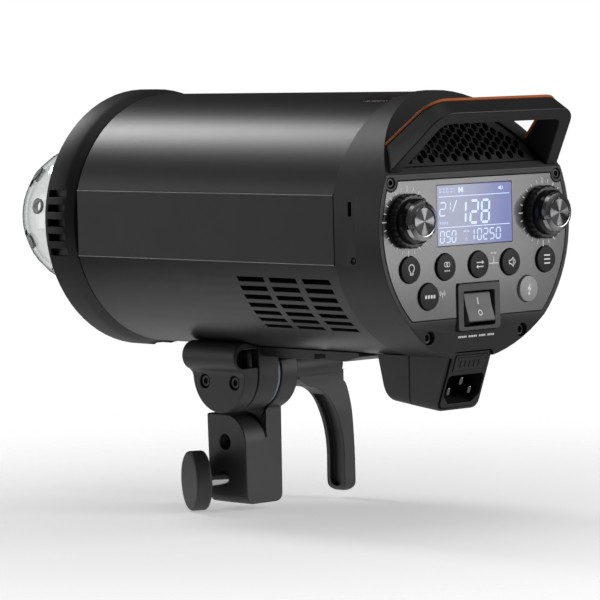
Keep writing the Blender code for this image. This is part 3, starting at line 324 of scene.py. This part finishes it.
def dress_nodes():
    """Gives every CAD node its finish by its slot in the record, and rounds its edges."""
    slots = {row["node"]: row["material_slot"] for row in frame["record"]["subparts"]}
    for name, node in NODES.items():
        node.data.materials.clear()
        node.data.materials.append(NODE_LOOKS.get(name, LOOKS[slots[name]]))
        soften(node, EDGE_WIDTHS.get(name, EDGE_WIDTH))


dress_nodes()


# ---------------------------------------------------------------- tools for the fine pieces

# The white ink glows a little: a painted glow, since nothing lights it from behind. The display inks glow with the
# display's backlight.
WHITE_INK_PAINTED_GLOW = print_with_glow("white_ink_painted_glow", (0.82, 0.82, 0.82), 0.22)
LCD_INK = print_with_glow("display_ink", (0.56, 0.68, 0.90), 0.92)
LCD_FAINT = print_with_glow("display_faint_ink", (0.42, 0.47, 0.70), 0.80)

# How far a print's back lies under the skin
PRINT_SUNK = 0.00012

# Where rays towards a rear skin start along Y, and how far from the drawer's middle the drawer's ray starts
RAY_START = 0.5
RAY_REACH = 0.08


def piece(name, bm, look, body, place=(0.0, 0.0, 0.0)):
    """A new mesh piece that rides on a body; bm is in metres about place."""
    bmesh.ops.recalc_face_normals(bm, faces=bm.faces)
    mesh = bpy.data.meshes.new(name)
    bm.to_mesh(mesh)
    bm.free()
    mesh.shade_smooth()
    mesh.set_sharp_from_angle(angle=math.radians(30.0))
    mesh.materials.append(look)
    made = bpy.data.objects.new(name, mesh)
    made.location = place
    bpy.context.scene.collection.objects.link(made)
    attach(made, body)
    return made


def lathe(bm, profile, steps, axis, place=(0.0, 0.0, 0.0), wave=None):
    """Adds a closed ring turned about axis; profile holds (radius, station), and wave changes the radius."""
    axis = Vector(axis).normalized()
    side = axis.orthogonal().normalized()
    other = axis.cross(side)
    rows = []
    for radius, station in profile:
        row = []
        for i in range(steps):
            angle = 2.0 * math.pi * i / steps
            reach = radius + (wave(angle, radius) if wave else 0.0)
            spoke = side * math.cos(angle) + other * math.sin(angle)
            row.append(bm.verts.new(Vector(place) + axis * station + spoke * reach))
        rows.append(row)
    for k in range(len(rows)):
        here, there = rows[k], rows[(k + 1) % len(rows)]
        for i in range(steps):
            j = (i + 1) % steps
            bm.faces.new((here[i], here[j], there[j], there[i]))


TREES = {}


def surface(node):
    """A node's packed skin, ready for ray casts."""
    if node not in TREES:
        mesh = NODES[node].data
        corners = [vertex.co.copy() for vertex in mesh.vertices]
        TREES[node] = BVHTree.FromPolygons(corners, [tuple(face.vertices) for face in mesh.polygons])
    return TREES[node]


def rear_of(node, x, z):
    """The height along Y of a node's rear-facing skin at x, z."""
    hit = surface(node).ray_cast(Vector((x, RAY_START, z)), Vector((0.0, -1.0, 0.0)))[0]
    return hit.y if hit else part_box(node)[1].y


def decal(name, node, shapes, look, body, proud=0.00007):
    """Thin raised print on a rear-facing skin: each shape is a convex outline of (x, z) points."""
    bm = bmesh.new()
    for shape in shapes:
        skin = [rear_of(node, x, z) for x, z in shape]
        front = [bm.verts.new((x, y + proud, z)) for (x, z), y in zip(shape, skin)]
        back = [bm.verts.new((x, y - PRINT_SUNK, z)) for (x, z), y in zip(shape, skin)]
        count = len(shape)
        bm.faces.new(front)
        bm.faces.new(list(reversed(back)))
        for i in range(count):
            j = (i + 1) % count
            bm.faces.new((front[i], back[i], back[j], front[j]))
    return piece(name, bm, look, body)


def tube(inner, outer, low, high):
    """The profile of a plain ring for lathe."""
    return [(inner, low), (outer, low), (outer, high), (inner, high)]


def bar(bm, low, high):
    size = Vector(high) - Vector(low)
    place = Matrix.Translation((Vector(low) + Vector(high)) / 2.0) @ Matrix.Diagonal((*size, 1.0))
    bmesh.ops.create_cube(bm, size=1.0, matrix=place)


def round_off(made, width):
    edge = made.modifiers.new("edge", "BEVEL")
    edge.width = width
    edge.segments = 2
    edge.harden_normals = True


def centre_of(node):
    low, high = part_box(node)
    return (low + high) / 2.0


SEGMENTS = {"0": "abcdef", "1": "bc", "2": "abged", "5": "afgcd", "8": "abcdefg"}


class Sheet:
    """Marks drawn in millimetres about a place on the rear of the light: u to the reader's right, v up."""

    def __init__(self, x, z):
        self.x, self.z, self.shapes = x, z, []

    def polygon(self, points):
        self.shapes.append([(self.x - u * MM, self.z + v * MM) for u, v in points])

    def box(self, u0, v0, u1, v1):
        self.polygon([(u0, v0), (u1, v0), (u1, v1), (u0, v1)])

    def line(self, points, width):
        for (u0, v0), (u1, v1) in zip(points, points[1:]):
            length = math.hypot(u1 - u0, v1 - v0)
            du, dv = (u1 - u0) / length * width / 2.0, (v1 - v0) / length * width / 2.0
            self.polygon([
                (u0 - du - dv, v0 - dv + du),
                (u0 - du + dv, v0 - dv - du),
                (u1 + du + dv, v1 + dv - du),
                (u1 + du - dv, v1 + dv + du),
            ])

    def curve(self, u, v, radius, start, end, width, steps=20):
        inner, outer = radius - width / 2.0, radius + width / 2.0
        for i in range(steps):
            a, b = [math.radians(start + (end - start) * k / steps) for k in (i, i + 1)]
            self.polygon([
                (u + inner * math.cos(a), v + inner * math.sin(a)),
                (u + outer * math.cos(a), v + outer * math.sin(a)),
                (u + outer * math.cos(b), v + outer * math.sin(b)),
                (u + inner * math.cos(b), v + inner * math.sin(b)),
            ])

    def digit(self, figure, u, v, wide, high, thick, slant=0.06):
        """A seven-segment figure whose lower left corner is u, v."""
        middle = v + high / 2.0
        bars = {
            "a": ((u, v + high), (u + wide, v + high)),
            "b": ((u + wide, v + high), (u + wide, middle)),
            "c": ((u + wide, middle), (u + wide, v)),
            "d": ((u, v), (u + wide, v)),
            "e": ((u, middle), (u, v)),
            "f": ((u, v + high), (u, middle)),
            "g": ((u, middle), (u + wide, middle)),
        }
        for key in SEGMENTS[figure]:
            (u0, v0), (u1, v1) = bars[key]
            gap = thick * 0.45
            length = math.hypot(u1 - u0, v1 - v0)
            gu, gv = (u1 - u0) / length * gap, (v1 - v0) / length * gap
            ends = [(u0 + gu, v0 + gv), (u1 - gu, v1 - gv)]
            ends = [(a + (b - v) * slant, b) for a, b in ends]
            nu, nv = -gv / gap * thick / 2.0, gu / gap * thick / 2.0
            tip = thick * 0.35
            tu, tv = gu / gap * tip, gv / gap * tip
            (p0, q0), (p1, q1) = ends
            self.polygon([
                (p0 - tu * 0.4, q0 - tv * 0.4),
                (p0 + tu + nu, q0 + tv + nv),
                (p1 - tu + nu, q1 - tv + nv),
                (p1 + tu * 0.4, q1 + tv * 0.4),
                (p1 - tu - nu, q1 - tv - nv),
                (p0 + tu - nu, q0 + tv - nv),
            ])


# ---------------------------------------------------------------- display


def make_display():
    """The display's marks. Places are fractions of the window: across from its left, up from its foot."""
    low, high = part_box("display_window")
    wide, tall = (high.x - low.x) / MM, (high.z - low.z) / MM
    bright, faint = Sheet(high.x, low.z), Sheet(high.x, low.z)

    def at(across, up):
        return across * wide, up * tall

    def figures(marks, up, width, height, thick):
        for mark, across in marks:
            bright.digit(mark, *at(across, up), wide * width, tall * height, thick)

    # the lines between the rows
    for up in (0.812, 0.300):
        bright.line([at(0.02, up), at(0.965, up)], 0.30)
    # header: two rows of blocks, three joined blocks that read as an H, and a loudspeaker
    for start, end in ((0.025, 0.06), (0.075, 0.10), (0.115, 0.155), (0.175, 0.205), (0.22, 0.232)):
        faint.box(*at(start, 0.875), *at(end, 0.905))
        faint.box(*at(start, 0.925), *at(end, 0.950))
    bright.box(*at(0.285, 0.870), *at(0.305, 0.955))
    bright.box(*at(0.325, 0.870), *at(0.345, 0.955))
    bright.box(*at(0.305, 0.900), *at(0.325, 0.925))
    u, v = at(0.825, 0.908)
    bright.polygon([(u, v - 0.5), (u + 0.9, v - 0.5), (u + 0.9, v + 0.5), (u, v + 0.5)])
    bright.polygon([(u + 0.9, v - 0.5), (u + 1.7, v - 1.1), (u + 1.7, v + 1.1), (u + 0.9, v + 0.5)])
    bright.curve(u + 1.6, v, 1.2, -45.0, 45.0, 0.28, 8)
    # middle row: a figure over four blocks, then a fraction, 1/ small and the rest in large figures
    figures((("2", 0.030),), 0.500, 0.075, 0.215, 0.55)
    for step in range(4):
        faint.box(*at(0.028 + 0.030 * step, 0.355), *at(0.048 + 0.030 * step, 0.400))
    figures((("1", 0.115),), 0.580, 0.055, 0.145, 0.50)
    bright.line([at(0.205, 0.565), at(0.255, 0.735)], 0.55)
    figures((("1", 0.270), ("2", 0.435), ("8", 0.585)), 0.355, 0.100, 0.365, 1.15)
    # foot: two groups of figures, two blocks and a chevron
    figures((("0", 0.030), ("5", 0.110), ("0", 0.185)), 0.055, 0.050, 0.185, 0.50)
    figures((("1", 0.425), ("0", 0.525), ("2", 0.610), ("5", 0.695), ("0", 0.780)), 0.065, 0.055, 0.180, 0.55)
    faint.box(*at(0.340, 0.205), *at(0.375, 0.235))
    faint.box(*at(0.385, 0.205), *at(0.420, 0.235))
    faint.line([at(0.365, 0.065), at(0.378, 0.115), at(0.391, 0.065)], 0.3)
    decal("display_figures", "display_window", bright.shapes, LCD_INK, "light", 0.00003)
    decal("display_small_signs", "display_window", faint.shapes, LCD_FAINT, "light", 0.00003)


# ---------------------------------------------------------------- signs on the buttons and the panel


def lamp_sign(ink):
    ink.curve(0.0, 0.7, 1.75, -60.0, 240.0, 0.45)
    ink.line([(-0.85, -0.9), (-0.85, -2.3), (0.85, -2.3), (0.85, -0.9)], 0.42)
    ink.line([(-0.8, -1.5), (0.8, -1.5)], 0.30)


def group_sign(ink):
    """Two linked rings over three squares."""
    ink.curve(-0.7, 1.2, 1.1, 0.0, 360.0, 0.34)
    ink.curve(0.7, 1.2, 1.1, 0.0, 360.0, 0.34)
    for u in (-1.3, 0.0, 1.3):
        ink.box(u - 0.35, -2.1, u + 0.35, -1.4)


def sync_sign(ink):
    """Two opposed arrows."""
    for sign in (1.0, -1.0):
        v = sign * 1.0
        ink.line([(-2.0, v), (2.0, v)], 0.48)
        ink.polygon([(sign * 1.3, v + 0.95), (sign * 2.6, v), (sign * 1.3, v - 0.95)])


def sound_sign(ink):
    horn = [(-1.7, -0.8), (-1.7, 0.8), (-0.6, 0.8), (0.9, 2.1), (0.9, -2.1), (-0.6, -0.8), (-1.7, -0.8)]
    ink.line(horn, 0.42)
    ink.curve(0.6, 0.0, 1.6, -50.0, 50.0, 0.40, 8)


def menu_sign(ink):
    for v in (-1.9, 0.0, 1.9):
        ink.line([(-1.7, v), (1.7, v)], 0.68)


def mode_sign(ink):
    """A row of four plain bars."""
    for u in (-2.7, -0.9, 0.9, 2.7):
        ink.box(u - 0.6, -0.8, u + 0.6, 0.8)


def test_sign(ink):
    ink.polygon([(0.5, 2.6), (-1.3, -0.3), (0.1, -0.3), (0.5, 0.5)])
    ink.polygon([(-0.3, 0.4), (1.4, 0.4), (-0.3, -2.2), (-0.1, -0.3)])
    ink.polygon([(-1.0, -1.6), (0.8, -2.0), (-0.4, -3.3)])


SIGNS = {
    "lamp_button": lamp_sign,
    "group_button": group_sign,
    "sync_button": sync_sign,
    "sound_button": sound_sign,
    "menu_button": menu_sign,
    "mode_button": mode_sign,
    "test_button": test_sign,
}


def make_button_signs():
    for name, draw in SIGNS.items():
        middle = centre_of(name)
        ink = Sheet(middle.x, middle.z)
        draw(ink)
        body = name.replace("_button", "_key")
        decal(name.replace("button", "sign"), name, ink.shapes, WHITE_INK_PAINTED_GLOW, body, 0.00005)


def make_dial_scales():
    """Ticks round both dials, with a longer one at each quarter turn."""
    for side in ("left", "right"):
        middle = centre_of("dial_barrel_" + side)
        ticks = Sheet(middle.x, middle.z)
        for step in range(24):
            angle = math.radians(15.0 * step)
            ends, width = ((14.3, 15.5), 0.42) if step % 6 else ((13.9, 16.2), 0.55)
            ticks.line([(r * math.cos(angle), r * math.sin(angle)) for r in ends], width)
        decal("dial_scale_" + side, "control_panel", ticks.shapes, WHITE_INK_PAINTED_GLOW, "light")


def make_panel_marks():
    """A stem on a line under four dashes between two buttons, and a wireless sign by the mode button."""
    place = (centre_of("sync_button") + centre_of("sound_button")) / 2.0
    marks = Sheet(place.x, place.z)
    marks.line([(-3.0, 0.0), (3.0, 0.0)], 0.42)
    marks.line([(0.0, 0.2), (0.0, 2.8)], 0.50)
    for u in (-1.5, -0.5, 0.5, 1.5):
        marks.box(u - 0.32, 4.4, u + 0.32, 5.2)
    place = centre_of("mode_button")
    wave = Sheet(place.x - 9.6 * MM, place.z + 0.4 * MM)
    wave.line([(0.0, -1.4), (0.0, 0.6)], 0.34)
    for reach in (0.9, 1.7):
        wave.curve(0.0, 0.6, reach, -45.0, 45.0, 0.30, 6)
        wave.curve(0.0, 0.6, reach, 135.0, 225.0, 0.30, 6)
    decal("panel_marks", "control_panel", marks.shapes + wave.shapes, WHITE_INK_PAINTED_GLOW, "light")


def make_dash_row():
    """A row of plain dashes under the switch, with three gaps."""
    start, pitch, length, half = -12.0, 1.15, 0.72, 0.45
    row = Sheet(0.0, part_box("switch_frame")[0].z - 3.0 * MM)
    for step in range(21):
        if step not in (5, 11, 16):
            row.box(start + pitch * step, -half, start + pitch * step + length, half)
    decal("generic_text_row", "rear_cover", row.shapes, WHITE_INK_PAINTED_GLOW, "light")


def make_rocker_signs():
    """The line and ring of a power switch."""
    middle = centre_of("power_rocker")
    signs = Sheet(middle.x, middle.z)
    signs.line([(-0.2, 1.6), (-0.2, 4.2)], 0.60)
    signs.curve(-0.2, -2.6, 1.15, 0.0, 360.0, 0.45, 18)
    decal("rocker_signs", "power_rocker", signs.shapes, WHITE_INK_PAINTED_GLOW, "rocker", 0.00010)


# ---------------------------------------------------------------- dials

DIAL_SKIRT = grained("dial_skirt_look", (0.012, 0.012, 0.012), 0.34, 0.0, 0.30, 0.004, Specular_IOR_Level=0.6)
DIAL_GLOSS = grained("dial_barrel_look", (0.010, 0.010, 0.010), 0.16, 0.0, 0.60, 0.001, Coat_Weight=0.5)
DIAL_RING = grained("dial_ring_look", (0.60, 0.60, 0.61), 0.26, 1.0, 0.20, 0.002, 0.05)


def turned_face_painted_sheen(name):
    """Dark metal faced on a lathe: fine rings, with a painted highlight of four paler arms in its colour, fixed to
    the dial.
    """
    made, tree, shader = start_material(name)
    round_it = add(tree, "Tangent", direction_type="RADIAL", axis="Y")
    tree.links.new(round_it.outputs["Tangent"], shader.inputs["Tangent"])
    split = split_place(tree)
    # Painted highlight: the colour turns paler along four arms round the dial's middle, standing in for the
    # cross-shaped sheen of turned metal.
    angle = maths(tree, "ARCTAN2", split["Z"], split["X"])
    wave = maths(tree, "COSINE", maths(tree, "MULTIPLY", angle, 2.0))
    highlight_arm = ramp(tree, maths(tree, "ABSOLUTE", wave), 0.60, 1.0)
    painted_highlight = mixed(tree, highlight_arm, (0.030, 0.030, 0.031), (0.17, 0.17, 0.175))
    tree.links.new(painted_highlight, shader.inputs["Base Color"])
    flat = add(tree, "CombineXYZ")
    tree.links.new(split["X"], flat.inputs["X"])
    tree.links.new(split["Z"], flat.inputs["Y"])
    length = add(tree, "VectorMath", operation="LENGTH")
    tree.links.new(flat.outputs["Vector"], length.inputs[0])
    rings = add(tree, "TexNoise", noise_dimensions="1D", Scale=4000.0, Detail=2.0)
    tree.links.new(length.outputs["Value"], rings.inputs["W"])
    tree.links.new(bump(tree, rings.outputs["Fac"], 0.000004), shader.inputs["Normal"])
    shader.inputs["Metallic"].default_value = 1.0
    shader.inputs["Roughness"].default_value = 0.26
    shader.inputs["Anisotropic"].default_value = 0.80
    return made


DIAL_FACE = turned_face_painted_sheen("dial_face_look")

# The skirt's grip flutes, and the notches in the cap's ring: how many, how deep, and from what radius
FLUTES, FLUTE_DEPTH, FLUTES_FROM = 24, 0.00045, 0.0108
NOTCHES, NOTCH_DEPTH, NOTCHES_FROM = 3, 0.0011, 0.0082

# Half of a notch's width, as a share of the turn from one notch to the next
NOTCH_HALF = 0.045

# The skirt's gap to the panel, its height and chamfer, and how far past the CAD cap's foot its ring starts
SKIRT_GAP = 0.0003
SKIRT_HEIGHT = 0.0040
CHAMFER = 0.0006
CAP_RISE = 0.0014

# The steps round a piece with flutes or notches, and round a plain one
FINE_STEPS, PLAIN_STEPS = 288, 144


def flute_wave(angle, radius):
    depth = FLUTE_DEPTH * (0.5 + 0.5 * math.cos(FLUTES * angle)) ** 3
    return -depth if radius > FLUTES_FROM else 0.0


def notch_wave(angle, radius):
    turn = (angle * NOTCHES / (2.0 * math.pi)) % 1.0
    return -NOTCH_DEPTH if abs(turn - 0.5) < NOTCH_HALF and radius > NOTCHES_FROM else 0.0


def skirt_profile(skirt, barrel, base, step):
    """The fluted grip next to the panel, sunk round the barrel."""
    bore, sunk = 0.0030, step - 0.0005
    return [
        (bore, base),
        (skirt - CHAMFER, base),
        (skirt, base + CHAMFER),
        (skirt, step - CHAMFER),
        (skirt - 0.0007, step),
        (barrel + CHAMFER, step),
        (barrel + CHAMFER, sunk),
        (bore, sunk),
    ]


def shell_profile(barrel, step, top):
    """The glossy barrel from the skirt to the cap."""
    bore, shell = 0.0025, barrel + 0.0010
    foot, head = step - 0.0006, top + 0.0001
    return [(bore, foot), (shell + 0.0004, foot), (shell, top - 0.0012), (shell - 0.0010, head), (bore, head)]


def ring_profile(barrel, top, end):
    """The cap's bright ring, sloped outside and stepped down to the face inside."""
    sunk = end - 0.0009
    return [
        (0.0064, top),
        (barrel - 0.0002, top),
        (barrel, top + 0.0006),
        (barrel - 0.0006, top + 0.0022),
        (barrel - 0.0022, end - 0.0004),
        (barrel - 0.0026, end),
        (barrel - 0.0029, end - 0.0001),
        (barrel - 0.0030, sunk),
        (0.0062, sunk),
    ]


def face_profile(barrel, end):
    """The turned face, a disc but for a pinhole that lets lathe close it."""
    pinhole, face, back = 0.00002, barrel - 0.00305, end - 0.0012
    return [
        (pinhole, back),
        (face, back),
        (face, end - 0.0006),
        (face - 0.0003, end - 0.0004),
        (pinhole, end - 0.00035),
    ]


def turned(name, profile, steps, look, body, place, wave=None):
    """A piece lathed about the line along Y through place."""
    bm = bmesh.new()
    lathe(bm, profile, steps, (0, 1, 0), wave=wave)
    return piece(name, bm, look, body, place)


def make_dials():
    for side in ("left", "right"):
        body = "dial_" + side
        low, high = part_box("dial_barrel_" + side)
        cap_low, cap_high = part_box("dial_cap_" + side)
        middle = (low + high) / 2.0
        place = Vector((middle.x, 0.0, middle.z))
        skirt = (high.x - low.x) / 2.0
        barrel = (cap_high.x - cap_low.x) / 2.0
        base, top, end = PANEL_Y + SKIRT_GAP, cap_low.y + CAP_RISE, cap_high.y
        step = base + SKIRT_HEIGHT
        wheel = turned(
            "dial_skirt_" + side, skirt_profile(skirt, barrel, base, step), FINE_STEPS,
            DIAL_SKIRT, body, place, flute_wave,
        )
        turned(
            "dial_shell_" + side, shell_profile(barrel, step, top), PLAIN_STEPS,
            DIAL_GLOSS, body, place,
        )
        rim = turned(
            "dial_ring_" + side, ring_profile(barrel, top, end), FINE_STEPS,
            DIAL_RING, body, place, notch_wave,
        )
        turned(
            "dial_face_" + side, face_profile(barrel, end), PLAIN_STEPS,
            DIAL_FACE, body, place,
        )
        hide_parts("dial_barrel_" + side)
        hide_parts("dial_cap_" + side)


# ---------------------------------------------------------------- dome, bands, drawer, switch and lock

FROSTED = grained("port_rim_look", (0.82, 0.82, 0.82), 0.35, 0.0, 0.30, 0.006)
PORT_DARK = grained("port_edge_look", (0.16, 0.16, 0.16), 0.30, 0.0, 0.30, 0.004)
# Paler metal for the band edge lines: a painted edge highlight.
BAND_EDGE_HIGHLIGHT = grained("band_edge_highlight_look", (0.22, 0.22, 0.22), 0.30, 0.6, 0.30, 0.003)

# The dome's vent ports: how many, where the first one is in degrees round the dome, how far towards the
# dome's tip alternate ports lie, measured along the glass, and how deep their rims start
PORTS = 12
PORT_START = -20.0
PORT_AHEAD = (0.0125, 0.0010)
PORT_DEPTH = 0.0024
PORT_STEPS = 32


def make_port_rims():
    """A frosted rim in each vent port, and a dark line round it."""
    low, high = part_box("glass_dome")
    radius = (high.x - low.x) / 2.0
    centre = Vector((0.0, low.y + radius, AXIS_Z))
    rims, edges = bmesh.new(), bmesh.new()
    for i in range(PORTS):
        turn = math.radians(PORT_START + 360.0 / PORTS * i)
        lean = PORT_AHEAD[i % 2] / radius
        out = Vector((math.cos(turn) * math.cos(lean), -math.sin(lean), math.sin(turn) * math.cos(lean)))
        start = centre + out * (radius - PORT_DEPTH)
        lathe(rims, tube(0.0029, 0.0034, 0.0, 0.0028), PORT_STEPS, out, start)
        lathe(edges, tube(0.0035, 0.0041, 0.0020, 0.0026), PORT_STEPS, out, start)
    piece("dome_port_rims", rims, FROSTED, "light")
    piece("dome_port_edges", edges, PORT_DARK, "light")


def make_band_edge_highlights():
    """A thin pale line along both long edges of each side band: a slightly proud strip of paler metal, partly a
    real edge that catches light and partly a painted edge highlight.
    """
    depth, proud, half = 0.0010, 0.00006, 0.00020
    for side, sign in (("left", 1.0), ("right", -1.0)):
        low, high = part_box("side_band_" + side)
        outer = high.x if sign > 0 else low.x
        inner, skin = outer - sign * depth, outer + sign * proud
        bm = bmesh.new()
        for edge in (high.z, low.z):
            bar(bm, (min(inner, skin), low.y, edge - half), (max(inner, skin), high.y, edge + half))
        round_off(piece("band_highlight_lines_" + side, bm, BAND_EDGE_HIGHLIGHT, "light"), 0.00008)


def make_drawer_ribs():
    """Finger ribs and a raised lip on the fuse drawer's face."""
    pitch, half, sunk = 0.0030, 0.0006, -0.0004
    across = Vector((1.0, 0.0, 0.0))
    out = Vector(JOINTS["fuse_drawer_slide"]["axis"]).normalized()
    up = across.cross(out).normalized()
    up = up if up.z > 0 else -up
    low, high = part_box("fuse_drawer")
    hit = surface("fuse_drawer").ray_cast((low + high) / 2.0 + out * RAY_REACH, -out)[0]
    turn = Matrix((across, out, up)).transposed().to_4x4()
    bm = bmesh.new()
    for step in (-2, -1, 0, 1, 2):
        bar(bm, (step * pitch - half, sunk, -0.0022), (step * pitch + half, 0.00035, 0.0012))
    bar(bm, (-0.0088, sunk, 0.0020), (0.0088, 0.0004, 0.0027))
    bmesh.ops.transform(bm, matrix=Matrix.Translation(hit) @ turn, verts=bm.verts)
    ribs = piece("drawer_ribs", bm, NODE_LOOKS["fuse_drawer"], "drawer")
    round_off(ribs, 0.00015)


def make_switch_back():
    """The switch's dark inner wall, behind the rocker's travel."""
    side, end = 0.0015, 0.0010
    low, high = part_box("switch_frame")
    bm = bmesh.new()
    bar(bm, (low.x + side, low.y - 0.0025, low.z + end), (high.x - side, low.y - 0.0016, high.z - end))
    wall = piece("switch_back", bm, NODE_LOOKS["power_inlet"], "light")
    round_off(wall, 0.0003)


def make_lock_collar():
    """The chamfered collar on the lock screw, between the block and the knob."""
    bore, shoulder, radius, chamfer, thick = 0.0028, 0.0046, 0.0050, 0.0004, 0.0020
    before_knob, steps = 0.0038, 48
    axis = Vector(JOINTS["stand_lock_turn"]["axis"]).normalized()
    low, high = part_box("stand_lock_knob")
    knob = (low + high) / 2.0
    line = Vector((0.0, 0.0, knob.z))
    head = (knob - line).dot(axis) - before_knob
    collar = [(bore, head), (shoulder, head), (radius, head - chamfer)]
    collar += [(radius, head - thick + chamfer), (shoulder, head - thick), (bore, head - thick)]
    bm = bmesh.new()
    lathe(bm, collar, steps, axis, line)
    piece("lock_collar", bm, LOOKS["black_plastic"], "stand_lock")


make_display()
make_switch_back()
make_lock_collar()
make_button_signs()
make_dial_scales()
make_panel_marks()
make_dash_row()
make_rocker_signs()
make_dials()
make_port_rims()
make_band_edge_highlights()
make_drawer_ribs()


# ---------------------------------------------------------------- camera, light and floor

CAMERA_AZIMUTH = math.radians(137.22)
CAMERA_ELEVATION = math.radians(3.87)
CAMERA_ROLL = math.radians(-1.38)
CAMERA_LENS = 229.56
CAMERA_PLACE = Vector((1.279235, 1.422866, 0.230160))


def make_camera():
    data = bpy.data.cameras.new("camera")
    data.lens = CAMERA_LENS
    data.clip_start = 0.05
    data.clip_end = 50.0
    camera = bpy.data.objects.new("camera", data)
    bpy.context.scene.collection.objects.link(camera)
    a, e, r = CAMERA_AZIMUTH, CAMERA_ELEVATION, CAMERA_ROLL
    back = Vector((math.sin(a) * math.cos(e), -math.cos(a) * math.cos(e), math.sin(e)))
    right = Vector((math.cos(a), math.sin(a), 0.0))
    up = back.cross(right)
    right, up = math.cos(r) * right + math.sin(r) * up, math.cos(r) * up - math.sin(r) * right
    turn = Matrix((right, up, back)).transposed()
    camera.matrix_world = Matrix.Translation(CAMERA_PLACE) @ turn.to_4x4()
    bpy.context.scene.camera = camera


def softbox(name, place, target, size, power):
    data = bpy.data.lights.new(name, "AREA")
    data.shape = "RECTANGLE"
    data.size, data.size_y = size
    data.energy = power
    lamp = bpy.data.objects.new(name, data)
    lamp.location = place
    lamp.rotation_euler = (Vector(target) - Vector(place)).to_track_quat("-Z", "Y").to_euler()
    bpy.context.scene.collection.objects.link(lamp)


# How bright the surroundings are in reflections, where 1 is how bright they look
DIM = 0.035


def make_world():
    """White to the eye and through glass, dim in reflections, like a dark studio with a lit backdrop."""
    world = bpy.data.worlds.new("studio")
    world.use_nodes = True
    bpy.context.scene.world = world
    tree = world.node_tree
    tree.nodes.clear()
    path = add(tree, "LightPath")
    seen = add(tree, "Math", operation="MAXIMUM")
    tree.links.new(path.outputs["Is Camera Ray"], seen.inputs[0])
    tree.links.new(path.outputs["Is Transmission Ray"], seen.inputs[1])
    bright = add(tree, "Background", Color=(1.0, 1.0, 1.0, 1.0), Strength=1.0)
    dim = add(tree, "Background", Color=(1.0, 1.0, 1.0, 1.0), Strength=DIM)
    mix = add(tree, "MixShader")
    out = add(tree, "OutputWorld")
    tree.links.new(seen.outputs["Value"], mix.inputs[0])
    tree.links.new(dim.outputs[0], mix.inputs[1])
    tree.links.new(bright.outputs[0], mix.inputs[2])
    tree.links.new(mix.outputs[0], out.inputs["Surface"])


FLOOR_RADIUS = 0.60
FLOOR_DROP = 0.0006
FLOOR_GLOW = 0.38

# How far from its middle the floor starts to fade, and where it is gone
FADE = (0.05, 0.46)


def make_floor():
    """A pale disc under the light that fades into the white backdrop."""
    bm = bmesh.new()
    bmesh.ops.create_circle(bm, cap_ends=True, radius=FLOOR_RADIUS, segments=96)
    mesh = bpy.data.meshes.new("floor")
    bm.to_mesh(mesh)
    bm.free()
    floor = bpy.data.objects.new("floor", mesh)
    floor.location.z = CAD_BOX[0].z - FLOOR_DROP
    bpy.context.scene.collection.objects.link(floor)
    made, tree, shader = start_material("pale_floor")
    wash = noise(tree, 0.3)
    tree.links.new(tint(tree, wash.outputs["Fac"], (0.90, 0.90, 0.90), 0.01), shader.inputs["Base Color"])
    shader.inputs["Roughness"].default_value = 0.9
    shader.inputs["Specular IOR Level"].default_value = 0.1
    shader.inputs["Emission Color"].default_value = (1.0, 1.0, 1.0, 1.0)
    shader.inputs["Emission Strength"].default_value = FLOOR_GLOW
    place = add(tree, "TexCoord")
    reach = add(tree, "VectorMath", operation="LENGTH")
    tree.links.new(place.outputs["Object"], reach.inputs[0])
    tree.links.new(ramp(tree, reach.outputs["Value"], *FADE, 1.0, 0.0), shader.inputs["Alpha"])
    mesh.materials.append(made)


# Each softbox's name, place, target, width and height in metres, and power in watts
MIDDLE = (0.0, 0.03, 0.12)
PANEL = (0.0, 0.16, 0.14)
SOFTBOXES = (
    ("key", (0.05, -1.15, 1.15), MIDDLE, (0.26, 0.55), 6.5),
    ("side_fill", (1.25, -1.35, 0.35), MIDDLE, (1.0, 1.2), 4.5),
    ("rear_wall", (-0.72, 1.25, 0.46), PANEL, (0.70, 0.90), 9.5),
    ("top", (0.25, 0.35, 1.60), MIDDLE, (1.2, 1.2), 3.5),
)

make_camera()
bpy.context.scene.view_settings.view_transform = "Standard"
make_world()
make_floor()
for settings in SOFTBOXES:
    softbox(*settings)
